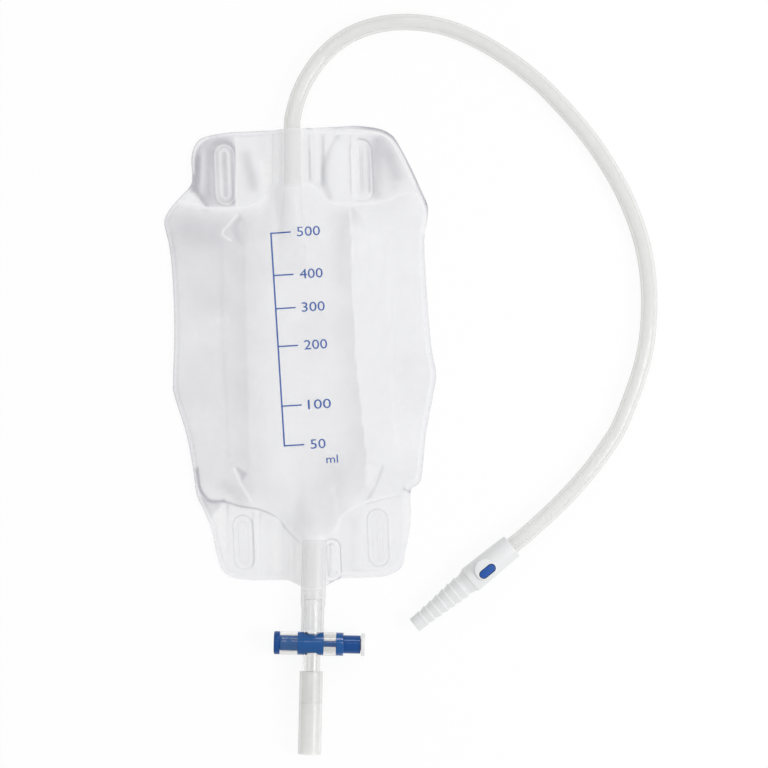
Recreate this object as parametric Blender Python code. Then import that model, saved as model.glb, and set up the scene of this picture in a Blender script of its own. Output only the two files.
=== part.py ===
# Urine drainage leg bag, lying on its back: a welded film pouch with a volume scale side facing up,
# an inlet tube with a barbed catheter connector, and a push-pull slide valve at the outlet.
# Metres, +Z up, +Y towards the inlet end. The origin is at the middle of the bag's underside.

import bpy
import bmesh
from math import acos, atan2, cos, hypot, pi, radians, sin, sqrt, tan
from mathutils import Vector

# Films, the gap that keeps touching pieces apart, and the small breaks on moulded edges
FILM = 0.00035
GAP = 0.0003
EDGE_BREAK = 0.0003
CUT_PAST = 0.0010               # how far a cutter runs past the face it cuts

# Bag outline and welds
BAG_LENGTH = 0.2260
BAG_WIDTH = 0.1320
TAB_DROP = 0.0045           # the bottom edge's tongue round the outlet tube
TAB_HALF_WIDTH = 0.0155
TOP_LEAN = 0.009            # the top edge's drop towards the left, per unit of width
BOTTOM_LEAN = 0.020         # the bottom edge's rise towards the left
CORNER_X = 0.0360           # the right corners' rounding starts here, where the edges' lean is counted from
RIM_WELD = 0.0013
RIM_BAND = 0.0030
SEAM_HALF_WIDTH = 0.0013
TOP_FLANGE = 0.0387         # top edge to the pouch's top weld
INLET_DOME = 0.0094         # the top weld's rise round the inlet
TOP_CORNER_RISE = 0.0042
BOTTOM_CORNER_RISE = 0.0060
BOTTOM_FLANGE = 0.0350      # bottom edge to the bottom weld, at the middle of the funnel's mouth
BOTTOM_SLOPE = 0.0070
OUTLET_FUNNEL = 0.0145      # the bottom weld's drop towards the outlet tube
FOLD_HALF_WIDTH = 0.0270    # the bag was packed folded in three
FOLD_STEP = 0.0060
PUFF = 0.0040
END_SLOPE = 0.0220
EDGE_LIFT = 0.0014
LIFT_WAVE = 0.0780
CHANNEL_BLEND = 0.0500      # half the stretch between one tube's line and the other's

# Strap slots: x of each slot's middle, and how far it lies from the bag's end
TOP_SLOTS = ((-0.0343, 0.0215), (0.0338, 0.0225))
BOTTOM_SLOTS = ((-0.0333, 0.0205), (0.0340, 0.0198))
SLOT_LENGTH = 0.0220
SLOT_WIDTH = 0.0007
SLOT_BORDERS = ((0.0047, 0.0148), (0.0022, 0.0120))   # half width, half length
BEAD_WIDTH = 0.0010
BEAD_HEIGHT = 0.0003

# Inlet tube and the non-return sleeve on its inner end
TUBE_RADIUS = 0.0041
INLET_DEPTH = 0.0291            # the bag's top edge to the tube's inner end
INLET_X = (-0.0010, 0.0002)     # the tube's middle at its inner end and at the bag's top edge
WELD_REACH = 0.0094             # tube middle to the weld line beside it
FILM_SLACK = 0.00015
SLEEVE_WALL = 0.0003
SLEEVE_GRIP = 0.0045
SLEEVE_TAPER = 0.0230
SLEEVE_LENGTH = 0.0460
SLEEVE_FLAT_WIDTH = 0.0140
SLEEVE_FLAT_HEIGHT = 0.0012
INLET_TENT_LEAD = 0.0130        # the front film starts to rise this far before the sleeve is round
OUTLET_TENT = 0.0320            # and comes down over this length beyond the outlet tube

# Outlet group: tube, slide valve and sleeve on one straight axis
VALVE_X = -0.0013
VALVE_DROP = 0.0312             # the bag's bottom edge to the barrel's middle
OUTLET_TURN = radians(3.93)
OUTLET_RADIUS = 0.00615
OUTLET_NECK_RADIUS = 0.00565
OUTLET_TUBE_LENGTH = 0.0455
NECK_FROM = 0.0195              # barrel middle to where the tube starts to narrow
NECK_TAPER = 0.0020
FOOT_FLARE = 0.0030
OUTLET_REACH = 0.0113           # tube middle to the weld line beside it
BARREL_RADIUS = 0.0058
BARREL_LENGTH = 0.0315
STUB_RADIUS = 0.0043
STUB_BORE = 0.0027
UPPER_STUB = 0.0220             # barrel middle to the stub's end
LOWER_STUB = 0.0300
SPOOL_RADIUS = 0.00455
SPOOL_CLEARANCE = 0.0002
SPOOL_WAIST_RADIUS = 0.0038
NECK_RADIUS = 0.0015
LAND_FROM = -0.0072
LAND_TO = 0.0057
RING_FROM = 0.0119
STROKE = 0.0084
BUTTON_THICKNESS = 0.0030
CAP_RADIUS = 0.0056
CAP_THICKNESS = 0.0020
CAP_PLUG_RADIUS = 0.0030
CAP_PLUG_LENGTH = 0.0045
SLEEVE_RADIUS = 0.00575
SLEEVE_TOP = 0.0139             # barrel middle to the outlet sleeve's top
OUTLET_SLEEVE_LENGTH = 0.0412

# Catheter connector
CONNECTOR_REAR = (0.1005, -0.09995)
CONNECTOR_TURN = radians(36.6)
CONNECTOR_LENGTH = 0.0627
BODY_LENGTH = 0.0270
BODY_FRONT_RADIUS = 0.00685
BODY_REAR_RADIUS = 0.00625
SOCKET_DEPTH = 0.0120
FLOW_RADIUS = 0.0024
TIP_RADIUS = 0.00395
TIP_COLLAR = 0.0056
BARBS = 7
BARB_PITCH = 0.00405
FIRST_PEAK_RADIUS = 0.00425
LAST_PEAK_RADIUS = 0.0060
BARB_DEPTH = 0.0007
BARB_BACK = 0.0006              # how far a barb's rear face leans
SHOULDER_STEP = 0.0005
SHOULDER_CONE = 0.0036          # the cone between the body's shoulder and the last barb's groove
PORT_BACK = 0.0178              # connector's rear to the sampling port's middle
PORT_RADIUS = 0.0055
PORT_RISE = 0.0009
PORT_ROLL = radians(5.9)        # the port leans to the connector's right side
PORT_DRILL_RADIUS = 0.0009
SEPTUM_LENGTH = 0.0088
SEPTUM_WIDTH = 0.0039
SEPTUM_DEPTH = 0.0019
SEPTUM_PROUD = 0.0003
SEPTUM_SHIFT = (0.0003, -0.0010)    # off the boss's middle: to the rear, to the right

# Places along the bag
BAG_TOP = BAG_LENGTH / 2.0
INLET_END_Y = BAG_TOP - INLET_DEPTH
VALVE_Y = -BAG_TOP - VALVE_DROP
OUTLET_END_Y = VALVE_Y + BARREL_RADIUS + GAP + OUTLET_TUBE_LENGTH
SLOT_PLACES = (*((x, BAG_TOP - away) for x, away in TOP_SLOTS),
               *((x, away - BAG_TOP) for x, away in BOTTOM_SLOTS))

# Heights above the table
SLEEVE_AXIS_Z = FILM + GAP + SLEEVE_WALL + GAP + TUBE_RADIUS
TUBE_REST_Z = TUBE_RADIUS + 0.0001
OUTLET_Z = FILM + GAP + OUTLET_RADIUS
CONNECTOR_Z = BODY_FRONT_RADIUS + 0.00015

# The free tube's route between the bag's top edge and the connector, chosen along the tube
TUBE_ROUTE = (
    (0.0012, 0.1200), (0.0061, 0.1332), (0.0160, 0.1472), (0.0295, 0.1575), (0.0458, 0.1627),
    (0.0629, 0.1631), (0.0794, 0.1596), (0.0943, 0.1528), (0.1075, 0.1443), (0.1188, 0.1351),
    (0.1284, 0.1258), (0.1440, 0.1071), (0.1564, 0.0881), (0.1662, 0.0675), (0.1727, 0.0446),
    (0.1744, 0.0189), (0.1703, -0.0093), (0.1585, -0.0393), (0.1491, -0.0540), (0.1371, -0.0683),
    (0.1225, -0.0823),
)
TUBE_POINTS = 34
STRAIGHT_END = 0.0095           # straight run of tube behind the connector
ROUND = 28                      # facets round the turned pieces

# Side edges of the bag, top to bottom: share of half the length, share of half the width
LEFT_EDGE = (
    (0.994, 0.580), (0.981, 0.655), (0.953, 0.729), (0.891, 0.769), (0.781, 0.776), (0.724, 0.859),
    (0.683, 0.928), (0.642, 0.979), (0.600, 0.996), (0.498, 0.966), (0.345, 0.952), (0.134, 0.956),
    (-0.086, 0.983), (-0.154, 0.980), (-0.326, 0.902), (-0.479, 0.863), (-0.598, 0.844),
    (-0.675, 0.790), (-0.762, 0.742), (-0.864, 0.713), (-0.937, 0.676), (-0.972, 0.595),
    (-0.990, 0.520),
)
RIGHT_EDGE = (
    (1.000, 0.570), (0.984, 0.648), (0.958, 0.740), (0.919, 0.793), (0.797, 0.892), (0.693, 0.963),
    (0.633, 1.001), (0.574, 0.995), (0.482, 0.965), (0.381, 0.962), (0.168, 0.969), (0.000, 0.983),
    (-0.112, 1.008), (-0.213, 0.976), (-0.381, 0.910), (-0.558, 0.866), (-0.599, 0.829),
    (-0.627, 0.776), (-0.758, 0.767), (-0.885, 0.721), (-0.964, 0.675), (-0.995, 0.566),
    (-1.000, 0.535),
)


def clear_scene():
    for thing in list(bpy.data.objects):
        bpy.data.objects.remove(thing)


def finish(name, color, roughness, alpha=1.0):
    material = bpy.data.materials.new(name)
    material.use_nodes = True
    shader = material.node_tree.nodes["Principled BSDF"]
    shader.inputs["Base Color"].default_value = (*color, 1.0)
    shader.inputs["Roughness"].default_value = roughness
    shader.inputs["Metallic"].default_value = 0.0
    shader.inputs["Alpha"].default_value = alpha
    return material


def add_object(name, mesh, material=None, parent=None):
    thing = bpy.data.objects.new(name, mesh)
    bpy.context.collection.objects.link(thing)
    thing.parent = parent
    if material:
        mesh.materials.append(material)
    return thing


def add_empty(name, place, turn=0.0, parent=None):
    empty = add_object(name, None, parent=parent)
    empty.location = place
    empty.rotation_euler = (0.0, 0.0, turn)
    return empty


def mesh_from(bm, name, smooth_angle=None):
    bmesh.ops.recalc_face_normals(bm, faces=bm.faces)
    mesh = bpy.data.meshes.new(name)
    bm.to_mesh(mesh)
    bm.free()
    if smooth_angle:
        mesh.shade_smooth()
        mesh.set_sharp_from_angle(angle=smooth_angle)
    return mesh


def turned_mesh(name, profile, axis, sides=ROUND):
    # The profile is (along, radius) points: a closed ring of them for a hollow piece, or an open
    # line from axis to axis for a solid one.
    along = Vector(axis)
    side = Vector((0.0, 0.0, 1.0)) if along.z == 0.0 else Vector((1.0, 0.0, 0.0))
    bm = bmesh.new()
    points = [bm.verts.new(along * a + side * r) for a, r in profile]
    count = len(points) if profile[0][1] > 0.0 else len(points) - 1
    edges = [bm.edges.new((points[i], points[(i + 1) % len(points)])) for i in range(count)]
    bmesh.ops.spin(bm, geom=points + edges, cent=(0.0, 0.0, 0.0), axis=along, angle=2.0 * pi,
                   steps=sides, use_duplicate=False)
    bmesh.ops.remove_doubles(bm, verts=bm.verts, dist=1e-6)
    return mesh_from(bm, name, radians(35.0))


def rod_mesh(name, start, end, radius, axis, sides=ROUND):
    return turned_mesh(name, ((start, 0.0), (start, radius), (end, radius), (end, 0.0)), axis, sides)


def cut_or_join(thing, tool, operation):
    tool.hide_render = True
    tool.display_type = "WIRE"
    change = thing.modifiers.new(operation.lower() + "_" + tool.name, "BOOLEAN")
    change.object = tool
    change.operation = operation
    change.solver = "EXACT"


def smooth_step(low, high, value):
    t = min(1.0, max(0.0, (value - low) / (high - low)))
    return t * t * (3.0 - 2.0 * t)


def read_edge(edge, y):
    share = y / BAG_TOP
    if share >= edge[0][0]:
        return edge[0][1] * BAG_WIDTH / 2.0
    for (y1, x1), (y2, x2) in zip(edge, edge[1:]):
        if share >= y2:
            return (x1 + (x2 - x1) * (share - y1) / (y2 - y1)) * BAG_WIDTH / 2.0
    return edge[-1][1] * BAG_WIDTH / 2.0


def edge_x(side, y):
    return side * read_edge(LEFT_EDGE if side < 0 else RIGHT_EDGE, y)


def inlet_x(y):
    slope = (INLET_X[1] - INLET_X[0]) / INLET_DEPTH
    return INLET_X[0] + slope * (y - INLET_END_Y)


def outlet_x(y):
    return VALVE_X + (y - VALVE_Y) * tan(OUTLET_TURN)


def channel_x(y):
    # The middle of the tube channels, from the outlet's line at the bottom to the inlet's at the top
    share = smooth_step(-CHANNEL_BLEND, CHANNEL_BLEND, y)
    low = outlet_x(min(y, -CHANNEL_BLEND))
    high = inlet_x(max(y, CHANNEL_BLEND))
    return low + (high - low) * share


def top_edge(x):
    return BAG_TOP - TOP_LEAN * max(0.0, CORNER_X - x)


def bottom_edge(x):
    tab = 1.0 - smooth_step(0.0, TAB_HALF_WIDTH, abs(x - outlet_x(-BAG_TOP)))
    return -BAG_TOP + BOTTOM_LEAN * max(0.0, CORNER_X - x) * (1.0 - tab) - TAB_DROP * tab


def top_seam(x):
    dome = 1.0 - smooth_step(WELD_REACH, 1.85 * WELD_REACH, abs(x - INLET_X[0]))
    shoulder = smooth_step(0.29, 0.43, abs(x) / BAG_WIDTH)
    return BAG_TOP - TOP_FLANGE + INLET_DOME * dome + TOP_CORNER_RISE * shoulder


def bottom_seam(x):
    away = abs(x - outlet_x(OUTLET_END_Y))
    funnel = 1.0 - smooth_step(0.27 * OUTLET_REACH, 2.3 * OUTLET_REACH, away)
    corner = BOTTOM_CORNER_RISE * smooth_step(0.33, 0.43, abs(x) / BAG_WIDTH)
    slope = BOTTOM_SLOPE * (1.0 - away / (0.35 * BAG_WIDTH))
    return -BAG_TOP + BOTTOM_FLANGE + BOTTOM_SLOPE - slope - OUTLET_FUNNEL * funnel + corner


def row_lines():
    # Curves across the bag, top to bottom, that both films' rows follow
    rows = [lambda x: top_edge(x), lambda x: top_edge(x) - RIM_WELD, lambda x: top_edge(x) - RIM_BAND]
    for share in (0.22, 0.44, 0.66, 0.86):
        rows.append(lambda x, s=share: top_edge(x) + (top_seam(x) - top_edge(x)) * s)
    rows += [lambda x, d=d: top_seam(x) + d for d in (SEAM_HALF_WIDTH, 0.0, -SEAM_HALF_WIDTH)]
    for share in (0.05, 0.11, 0.18, 0.26, 0.35, 0.45, 0.55, 0.65, 0.74, 0.82, 0.89, 0.95):
        rows.append(lambda x, s=share: top_seam(x) + (bottom_seam(x) - top_seam(x)) * s)
    rows += [lambda x, d=d: bottom_seam(x) + d for d in (SEAM_HALF_WIDTH, 0.0, -SEAM_HALF_WIDTH)]
    for share in (0.20, 0.42, 0.64, 0.85):
        rows.append(lambda x, s=share: bottom_seam(x) + (bottom_edge(x) - bottom_seam(x)) * s)
    rows += [lambda x: bottom_edge(x) + RIM_BAND, lambda x: bottom_edge(x) + RIM_WELD,
             lambda x: bottom_edge(x)]
    return rows


def column_places(y):
    # Places across the bag at height y, left to right
    middle = channel_x(y)
    share = smooth_step(-CHANNEL_BLEND, CHANNEL_BLEND, y)
    reach = OUTLET_REACH + (WELD_REACH - OUTLET_REACH) * share
    halves = []
    for side in (-1.0, 1.0):
        edge = abs(edge_x(side, y))
        half = [middle * side + reach * s for s in (0.24, 0.46, 0.72, 1.0)]
        half += [half[-1] + (FOLD_HALF_WIDTH - half[-1]) * s for s in (0.28, 0.62, 1.0)]
        inner = FOLD_HALF_WIDTH + FOLD_STEP
        half += [inner + (edge - RIM_BAND - inner) * s for s in (0.0, 0.34, 0.68, 1.0)]
        half += [edge - RIM_WELD, edge]
        halves.append([side * x for x in half])
    return halves[0][::-1] + [middle] + halves[1]


def table_lift(x, y):
    # Both films' side edges curl a little off the table
    outward = smooth_step(0.27, 0.50, abs(x) / BAG_WIDTH)
    side = 0.0 if x < 0.0 else 2.1
    return EDGE_LIFT * outward * (0.5 + 0.5 * sin(2.0 * pi * y / LIFT_WAVE + side))


def over_tube(away, axis_z, radius, reach, weld_z):
    # A film pulled over a round tube and straight down to the weld line beside it
    span = hypot(reach, weld_z - axis_z)
    lean = atan2(weld_z - axis_z, reach) + acos(radius / span)
    leave_x = radius * cos(lean)
    leave_z = axis_z + radius * sin(lean)
    if away <= leave_x:
        return axis_z + sqrt(radius * radius - away * away)
    if away >= reach:
        return weld_z
    return leave_z + (weld_z - leave_z) * (away - leave_x) / (reach - leave_x)


def pouch_height(x, y):
    # The folded pouch is a low roof: a level panel between two folds, and four sloping sides
    side = -1.0 if x < 0.0 else 1.0
    edge = abs(edge_x(side, y))
    slopes = (
        (edge - RIM_WELD - abs(x)) / (edge - RIM_WELD - FOLD_HALF_WIDTH),
        (top_seam(x) - y) / END_SLOPE,
        (y - bottom_seam(x)) / END_SLOPE,
    )
    missing = sum(max(0.0, 1.0 - max(0.0, s)) ** 4 for s in slopes) ** 0.25
    return PUFF * max(0.0, 1.0 - missing)


def front_film_under(x, y):
    flat = FILM + GAP
    height = flat
    if bottom_seam(x) < y < top_seam(x):
        height += pouch_height(x, y)
    inlet = over_tube(abs(x - inlet_x(y)), SLEEVE_AXIS_Z,
                      TUBE_RADIUS + GAP + SLEEVE_WALL + GAP + FILM_SLACK, WELD_REACH, flat)
    outlet = over_tube(abs(x - outlet_x(y)), OUTLET_Z, OUTLET_RADIUS + GAP + FILM_SLACK,
                       OUTLET_REACH, flat)
    near_inlet = smooth_step(INLET_END_Y - SLEEVE_TAPER - INLET_TENT_LEAD, INLET_END_Y - RIM_BAND, y)
    tube_end = OUTLET_END_Y + RIM_BAND
    near_outlet = 1.0 - smooth_step(tube_end, tube_end + OUTLET_TENT, y)
    height += max(0.0, inlet - height) * near_inlet
    height += max(0.0, outlet - height) * near_outlet
    return height + table_lift(x, y)


def film_points(across):
    # Where each row line meets each column, found by going back and forth twice
    grid = []
    for line in row_lines():
        row = []
        for number in across:
            y = line(0.0)
            for _ in range(4):
                x = column_places(y)[number]
                y = line(x)
            row.append((x, y))
        grid.append(row)
    return grid


def film_mesh(name, grid, lower, upper):
    bm = bmesh.new()
    low = [[bm.verts.new((x, y, lower(x, y))) for x, y in row] for row in grid]
    top = [[bm.verts.new((x, y, upper(x, y))) for x, y in row] for row in grid]
    rows, columns = len(grid), len(grid[0])
    for i in range(rows - 1):
        for j in range(columns - 1):
            bm.faces.new((top[i][j], top[i + 1][j], top[i + 1][j + 1], top[i][j + 1]))
            bm.faces.new((low[i][j], low[i][j + 1], low[i + 1][j + 1], low[i + 1][j]))
    rim = [(0, j) for j in range(columns - 1)] + [(i, columns - 1) for i in range(rows - 1)]
    rim += [(rows - 1, j) for j in range(columns - 1, 0, -1)] + [(i, 0) for i in range(rows - 1, 0, -1)]
    for (i1, j1), (i2, j2) in zip(rim, rim[1:] + rim[:1]):
        bm.faces.new((top[i1][j1], top[i2][j2], low[i2][j2], low[i1][j1]))
    return mesh_from(bm, name, radians(40.0))


def slit_cutter():
    bm = bmesh.new()
    deep = 2.0 * (EDGE_LIFT + 2.0 * FILM + GAP + BEAD_HEIGHT + CUT_PAST)
    for x, y in SLOT_PLACES:
        made = bmesh.ops.create_cube(bm, size=1.0)["verts"]
        bmesh.ops.scale(bm, verts=made, vec=(SLOT_WIDTH, SLOT_LENGTH, deep))
        bmesh.ops.translate(bm, verts=made, vec=(x, y, 0.0))
    return add_object("slit_cutter", mesh_from(bm, "slit_cutter"))


def slot_beads():
    # Raised oval weld beads round each strap slot, sunk into the front film
    bm = bmesh.new()
    film_top = FILM + GAP + FILM
    section = ((-BEAD_WIDTH / 2.0, 0.0), (0.0, -FILM / 2.0), (BEAD_WIDTH / 2.0, 0.0), (0.0, BEAD_HEIGHT))
    corners = 8
    for x, y in SLOT_PLACES:
        for half_width, half_length in SLOT_BORDERS:
            rings = []
            for end in (1.0, -1.0):
                for i in range(corners):
                    angle = pi * i / (corners - 1)
                    out = Vector((cos(angle), sin(angle), 0.0)) * end
                    middle = Vector((x, y + end * (half_length - half_width), film_top))
                    rings.append([bm.verts.new(middle + out * (half_width + a) + Vector((0.0, 0.0, z)))
                                  for a, z in section])
            for ring, following in zip(rings, rings[1:] + rings[:1]):
                for k in range(len(section)):
                    m = (k + 1) % len(section)
                    bm.faces.new((ring[k], ring[m], following[m], following[k]))
    return add_object("slot_beads", mesh_from(bm, "slot_beads"))


def make_bag():
    vinyl = finish("film_vinyl", (0.84, 0.84, 0.87), 0.35, 0.55)
    columns = len(column_places(0.0))
    whole = range(columns)
    outer = [j for j in whole if j <= 6 or j >= columns - 7 or j == columns // 2]
    back = film_mesh("bag_back_film", film_points(outer), table_lift,
                     lambda x, y: table_lift(x, y) + FILM)
    front = film_mesh("bag_front_film", film_points(whole), front_film_under,
                      lambda x, y: front_film_under(x, y) + FILM)
    back_film = add_object("bag_back_film", back, vinyl)
    front_film = add_object("bag_front_film", front, vinyl)
    slits = slit_cutter()
    cut_or_join(front_film, slot_beads(), "UNION")
    cut_or_join(front_film, slits, "DIFFERENCE")
    cut_or_join(back_film, slits, "DIFFERENCE")


def make_non_return_sleeve():
    # Round where it grips the inlet tube, flattening to two lips that let urine in and not back
    vinyl = finish("valve_film", (0.88, 0.88, 0.90), 0.3, 0.5)
    bm = bmesh.new()
    bore = TUBE_RADIUS + GAP
    sides = 20
    start = INLET_END_Y + SLEEVE_GRIP
    flat_z = FILM + GAP + SLEEVE_FLAT_HEIGHT / 2.0
    rings = []
    places = [(0.0, 0.0), (SLEEVE_GRIP + GAP, 0.0)]
    for share in (0.35, 0.6, 0.8, 1.0):
        places.append((SLEEVE_GRIP + SLEEVE_TAPER * share, smooth_step(0.25, 1.0, share)))
    places.append((SLEEVE_LENGTH, 1.0))
    for along, taper in places:
        y = start - along
        middle_z = SLEEVE_AXIS_Z + (flat_z - SLEEVE_AXIS_Z) * taper
        wide = bore + (SLEEVE_FLAT_WIDTH / 2.0 - SLEEVE_WALL - bore) * taper
        high = bore + (SLEEVE_FLAT_HEIGHT / 2.0 - SLEEVE_WALL - bore) * taper
        pair = []
        for wall in (0.0, SLEEVE_WALL):
            pair.append([bm.verts.new((inlet_x(y) + (wide + wall) * cos(2.0 * pi * i / sides), y,
                                       middle_z + (high + wall) * sin(2.0 * pi * i / sides)))
                         for i in range(sides)])
        rings.append(pair)
    for i in range(sides):
        j = (i + 1) % sides
        for first, second in zip(rings, rings[1:]):
            for skin in (0, 1):
                bm.faces.new((first[skin][i], first[skin][j], second[skin][j], second[skin][i]))
        for end in (rings[0], rings[-1]):
            bm.faces.new((end[0][i], end[0][j], end[1][j], end[1][i]))
    add_object("non_return_valve", mesh_from(bm, "non_return_valve", radians(40.0)), vinyl)


def connector_point(back):
    # A point on the connector's axis, that far behind its rear end
    return Vector((CONNECTOR_REAR[0] + back * cos(CONNECTOR_TURN),
                   CONNECTOR_REAR[1] + back * sin(CONNECTOR_TURN), CONNECTOR_Z))


def smooth_curve(points, count):
    # Evenly spaced points on a smooth curve through the route's points
    fine = []
    padded = [points[0] * 2.0 - points[1], *points, points[-1] * 2.0 - points[-2]]
    for a, b, c, d in zip(padded, padded[1:], padded[2:], padded[3:]):
        for i in range(24):
            t = i / 24.0
            fine.append(0.5 * (2.0 * b + (c - a) * t + (2.0 * a - 5.0 * b + 4.0 * c - d) * t * t
                               + (3.0 * b - a - 3.0 * c + d) * t * t * t))
    fine.append(points[-1])
    lengths = [0.0]
    for a, b in zip(fine, fine[1:]):
        lengths.append(lengths[-1] + (b - a).length)
    even, k = [], 0
    for i in range(count):
        want = lengths[-1] * i / (count - 1)
        while k < len(fine) - 2 and lengths[k + 1] < want:
            k += 1
        share = (want - lengths[k]) / (lengths[k + 1] - lengths[k])
        even.append(fine[k].lerp(fine[k + 1], share))
    return even


def tube_route():
    inside = (INLET_END_Y, BAG_TOP - INLET_DEPTH / 2.0, BAG_TOP)
    route = [Vector((inlet_x(y), y, SLEEVE_AXIS_Z)) for y in inside]
    for number, (x, y) in enumerate(TUBE_ROUTE):
        down = smooth_step(-1.0, 3.0, number)
        up = smooth_step(len(TUBE_ROUTE) - 4.0, len(TUBE_ROUTE) + 1.0, number)
        z = SLEEVE_AXIS_Z + (TUBE_REST_Z - SLEEVE_AXIS_Z) * down
        route.append(Vector((x, y, z + (CONNECTOR_Z - TUBE_REST_Z) * up)))
    route += [connector_point(back) for back in (STRAIGHT_END, 0.0, GAP - SOCKET_DEPTH)]
    return route


def make_inlet_tube():
    curve = bpy.data.curves.new("inlet_tube", "CURVE")
    curve.dimensions = "3D"
    curve.bevel_depth = TUBE_RADIUS
    curve.bevel_resolution = 3
    curve.use_fill_caps = True
    spline = curve.splines.new("POLY")
    points = smooth_curve(tube_route(), TUBE_POINTS)
    spline.points.add(len(points) - 1)
    for target, place in zip(spline.points, points):
        target.co = (*place, 1.0)
    add_object("inlet_tube", curve, finish("tube_vinyl", (0.86, 0.86, 0.84), 0.3, 0.75))


def connector_profile():
    rear, tip = 0.0, -CONNECTOR_LENGTH
    shoulder = rear - BODY_LENGTH
    profile = [(rear, TUBE_RADIUS + GAP), (rear, BODY_REAR_RADIUS - EDGE_BREAK),
               (rear - EDGE_BREAK, BODY_REAR_RADIUS), (shoulder, BODY_FRONT_RADIUS),
               (shoulder - EDGE_BREAK, BODY_FRONT_RADIUS - SHOULDER_STEP)]
    grow = (LAST_PEAK_RADIUS - FIRST_PEAK_RADIUS) / (BARBS - 1)
    for number in range(BARBS - 1, -1, -1):
        peak = FIRST_PEAK_RADIUS + grow * number
        place = tip + TIP_COLLAR + BARB_PITCH * number
        if number == BARBS - 1:
            profile.append((shoulder - SHOULDER_CONE, peak - BARB_DEPTH))
        profile += [(place + BARB_BACK, peak - BARB_DEPTH), (place, peak)]
    profile += [(tip + TIP_COLLAR - 2.0 * BARB_BACK, TIP_RADIUS), (tip + EDGE_BREAK, TIP_RADIUS),
                (tip, TIP_RADIUS - EDGE_BREAK), (tip, FLOW_RADIUS)]
    profile += [(rear - SOCKET_DEPTH, FLOW_RADIUS), (rear - SOCKET_DEPTH, TUBE_RADIUS + GAP)]
    return profile


def stadium_mesh(name, half_length, half_width, low, high, corners=9):
    # An upright prism with round ends, its long way along X
    bm = bmesh.new()
    floor = []
    for end in (1.0, -1.0):
        for i in range(corners):
            angle = -pi / 2.0 + pi * i / (corners - 1)
            floor.append(bm.verts.new((end * (half_length - half_width + half_width * cos(angle)),
                                       end * half_width * sin(angle), low)))
    face = bm.faces.new(floor)
    lifted = bmesh.ops.extrude_face_region(bm, geom=[face])["geom"]
    bmesh.ops.translate(bm, verts=[v for v in lifted if isinstance(v, bmesh.types.BMVert)],
                        vec=(0.0, 0.0, high - low))
    return mesh_from(bm, name, radians(35.0))


def make_connector():
    white = finish("connector_white", (0.87, 0.87, 0.88), 0.45)
    blue = finish("septum_blue", (0.02, 0.10, 0.40), 0.4)
    axis = add_empty("connector_axis", (*CONNECTOR_REAR, CONNECTOR_Z), CONNECTOR_TURN)
    body = add_object("connector_body", turned_mesh("connector_body", connector_profile(), (1.0, 0.0, 0.0)),
                      white, axis)
    top = BODY_FRONT_RADIUS + PORT_RISE
    pocket_floor = top - SEPTUM_DEPTH - GAP
    boss_base = TUBE_RADIUS + 2.0 * GAP
    port = add_empty("port_axis", (-PORT_BACK, 0.0, 0.0), parent=axis)
    port.rotation_euler.x = PORT_ROLL
    seat = add_empty("septum_seat", (*SEPTUM_SHIFT, 0.0), parent=port)
    boss = add_object("port_boss", rod_mesh("port_boss", boss_base, top, PORT_RADIUS, (0.0, 0.0, 1.0)),
                      parent=port)
    pocket = add_object("port_pocket", stadium_mesh("port_pocket", SEPTUM_LENGTH / 2.0 + GAP,
                                                    SEPTUM_WIDTH / 2.0 + GAP, pocket_floor,
                                                    top + CUT_PAST),
                        parent=seat)
    drill = add_object("port_drill", rod_mesh("port_drill", 0.0, top, PORT_DRILL_RADIUS, (0.0, 0.0, 1.0), 12),
                       parent=seat)
    cut_or_join(body, boss, "UNION")
    cut_or_join(body, pocket, "DIFFERENCE")
    cut_or_join(body, drill, "DIFFERENCE")
    add_object("port_septum", stadium_mesh("port_septum", SEPTUM_LENGTH / 2.0, SEPTUM_WIDTH / 2.0,
                                           pocket_floor + GAP, top + SEPTUM_PROUD), blue, seat)


def make_outlet_tube(axis):
    bore = STUB_RADIUS + GAP
    top = BARREL_RADIUS + GAP + OUTLET_TUBE_LENGTH
    foot = BARREL_RADIUS + GAP
    profile = ((top, bore), (top, OUTLET_RADIUS), (NECK_FROM, OUTLET_RADIUS),
               (NECK_FROM - NECK_TAPER, OUTLET_NECK_RADIUS), (foot + FOOT_FLARE, OUTLET_NECK_RADIUS),
               (foot, OUTLET_RADIUS - EDGE_BREAK), (foot, bore))
    add_object("outlet_tube", turned_mesh("outlet_tube", profile, (0.0, 1.0, 0.0)),
               finish("outlet_vinyl", (0.83, 0.83, 0.85), 0.3, 0.6), axis)


def make_barrel(axis):
    clear = finish("barrel_clear", (0.85, 0.86, 0.87), 0.15, 0.35)
    half = BARREL_LENGTH / 2.0
    along_x, along_y = (1.0, 0.0, 0.0), (0.0, 1.0, 0.0)
    bore = SPOOL_RADIUS + SPOOL_CLEARANCE
    barrel = add_object("valve_barrel", rod_mesh("valve_barrel", -half, half, BARREL_RADIUS, along_x),
                        clear, axis)
    lead = 2.0 * EDGE_BREAK
    stub = ((-LOWER_STUB, 0.0), (-LOWER_STUB, STUB_RADIUS - EDGE_BREAK), (lead - LOWER_STUB, STUB_RADIUS),
            (UPPER_STUB - lead, STUB_RADIUS), (UPPER_STUB, STUB_RADIUS - EDGE_BREAK), (UPPER_STUB, 0.0))
    stubs = add_object("barrel_stubs", turned_mesh("barrel_stubs", stub, along_y), parent=axis)
    cutter = add_object("barrel_bore", rod_mesh("barrel_bore", -half - CUT_PAST, half + CUT_PAST, bore,
                                                along_x), parent=axis)
    passage = add_object("barrel_passage", rod_mesh("barrel_passage", -LOWER_STUB - CUT_PAST,
                                                    UPPER_STUB + CUT_PAST, STUB_BORE, along_y), parent=axis)
    cut_or_join(barrel, stubs, "UNION")
    cut_or_join(barrel, cutter, "DIFFERENCE")
    cut_or_join(barrel, passage, "DIFFERENCE")


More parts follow.
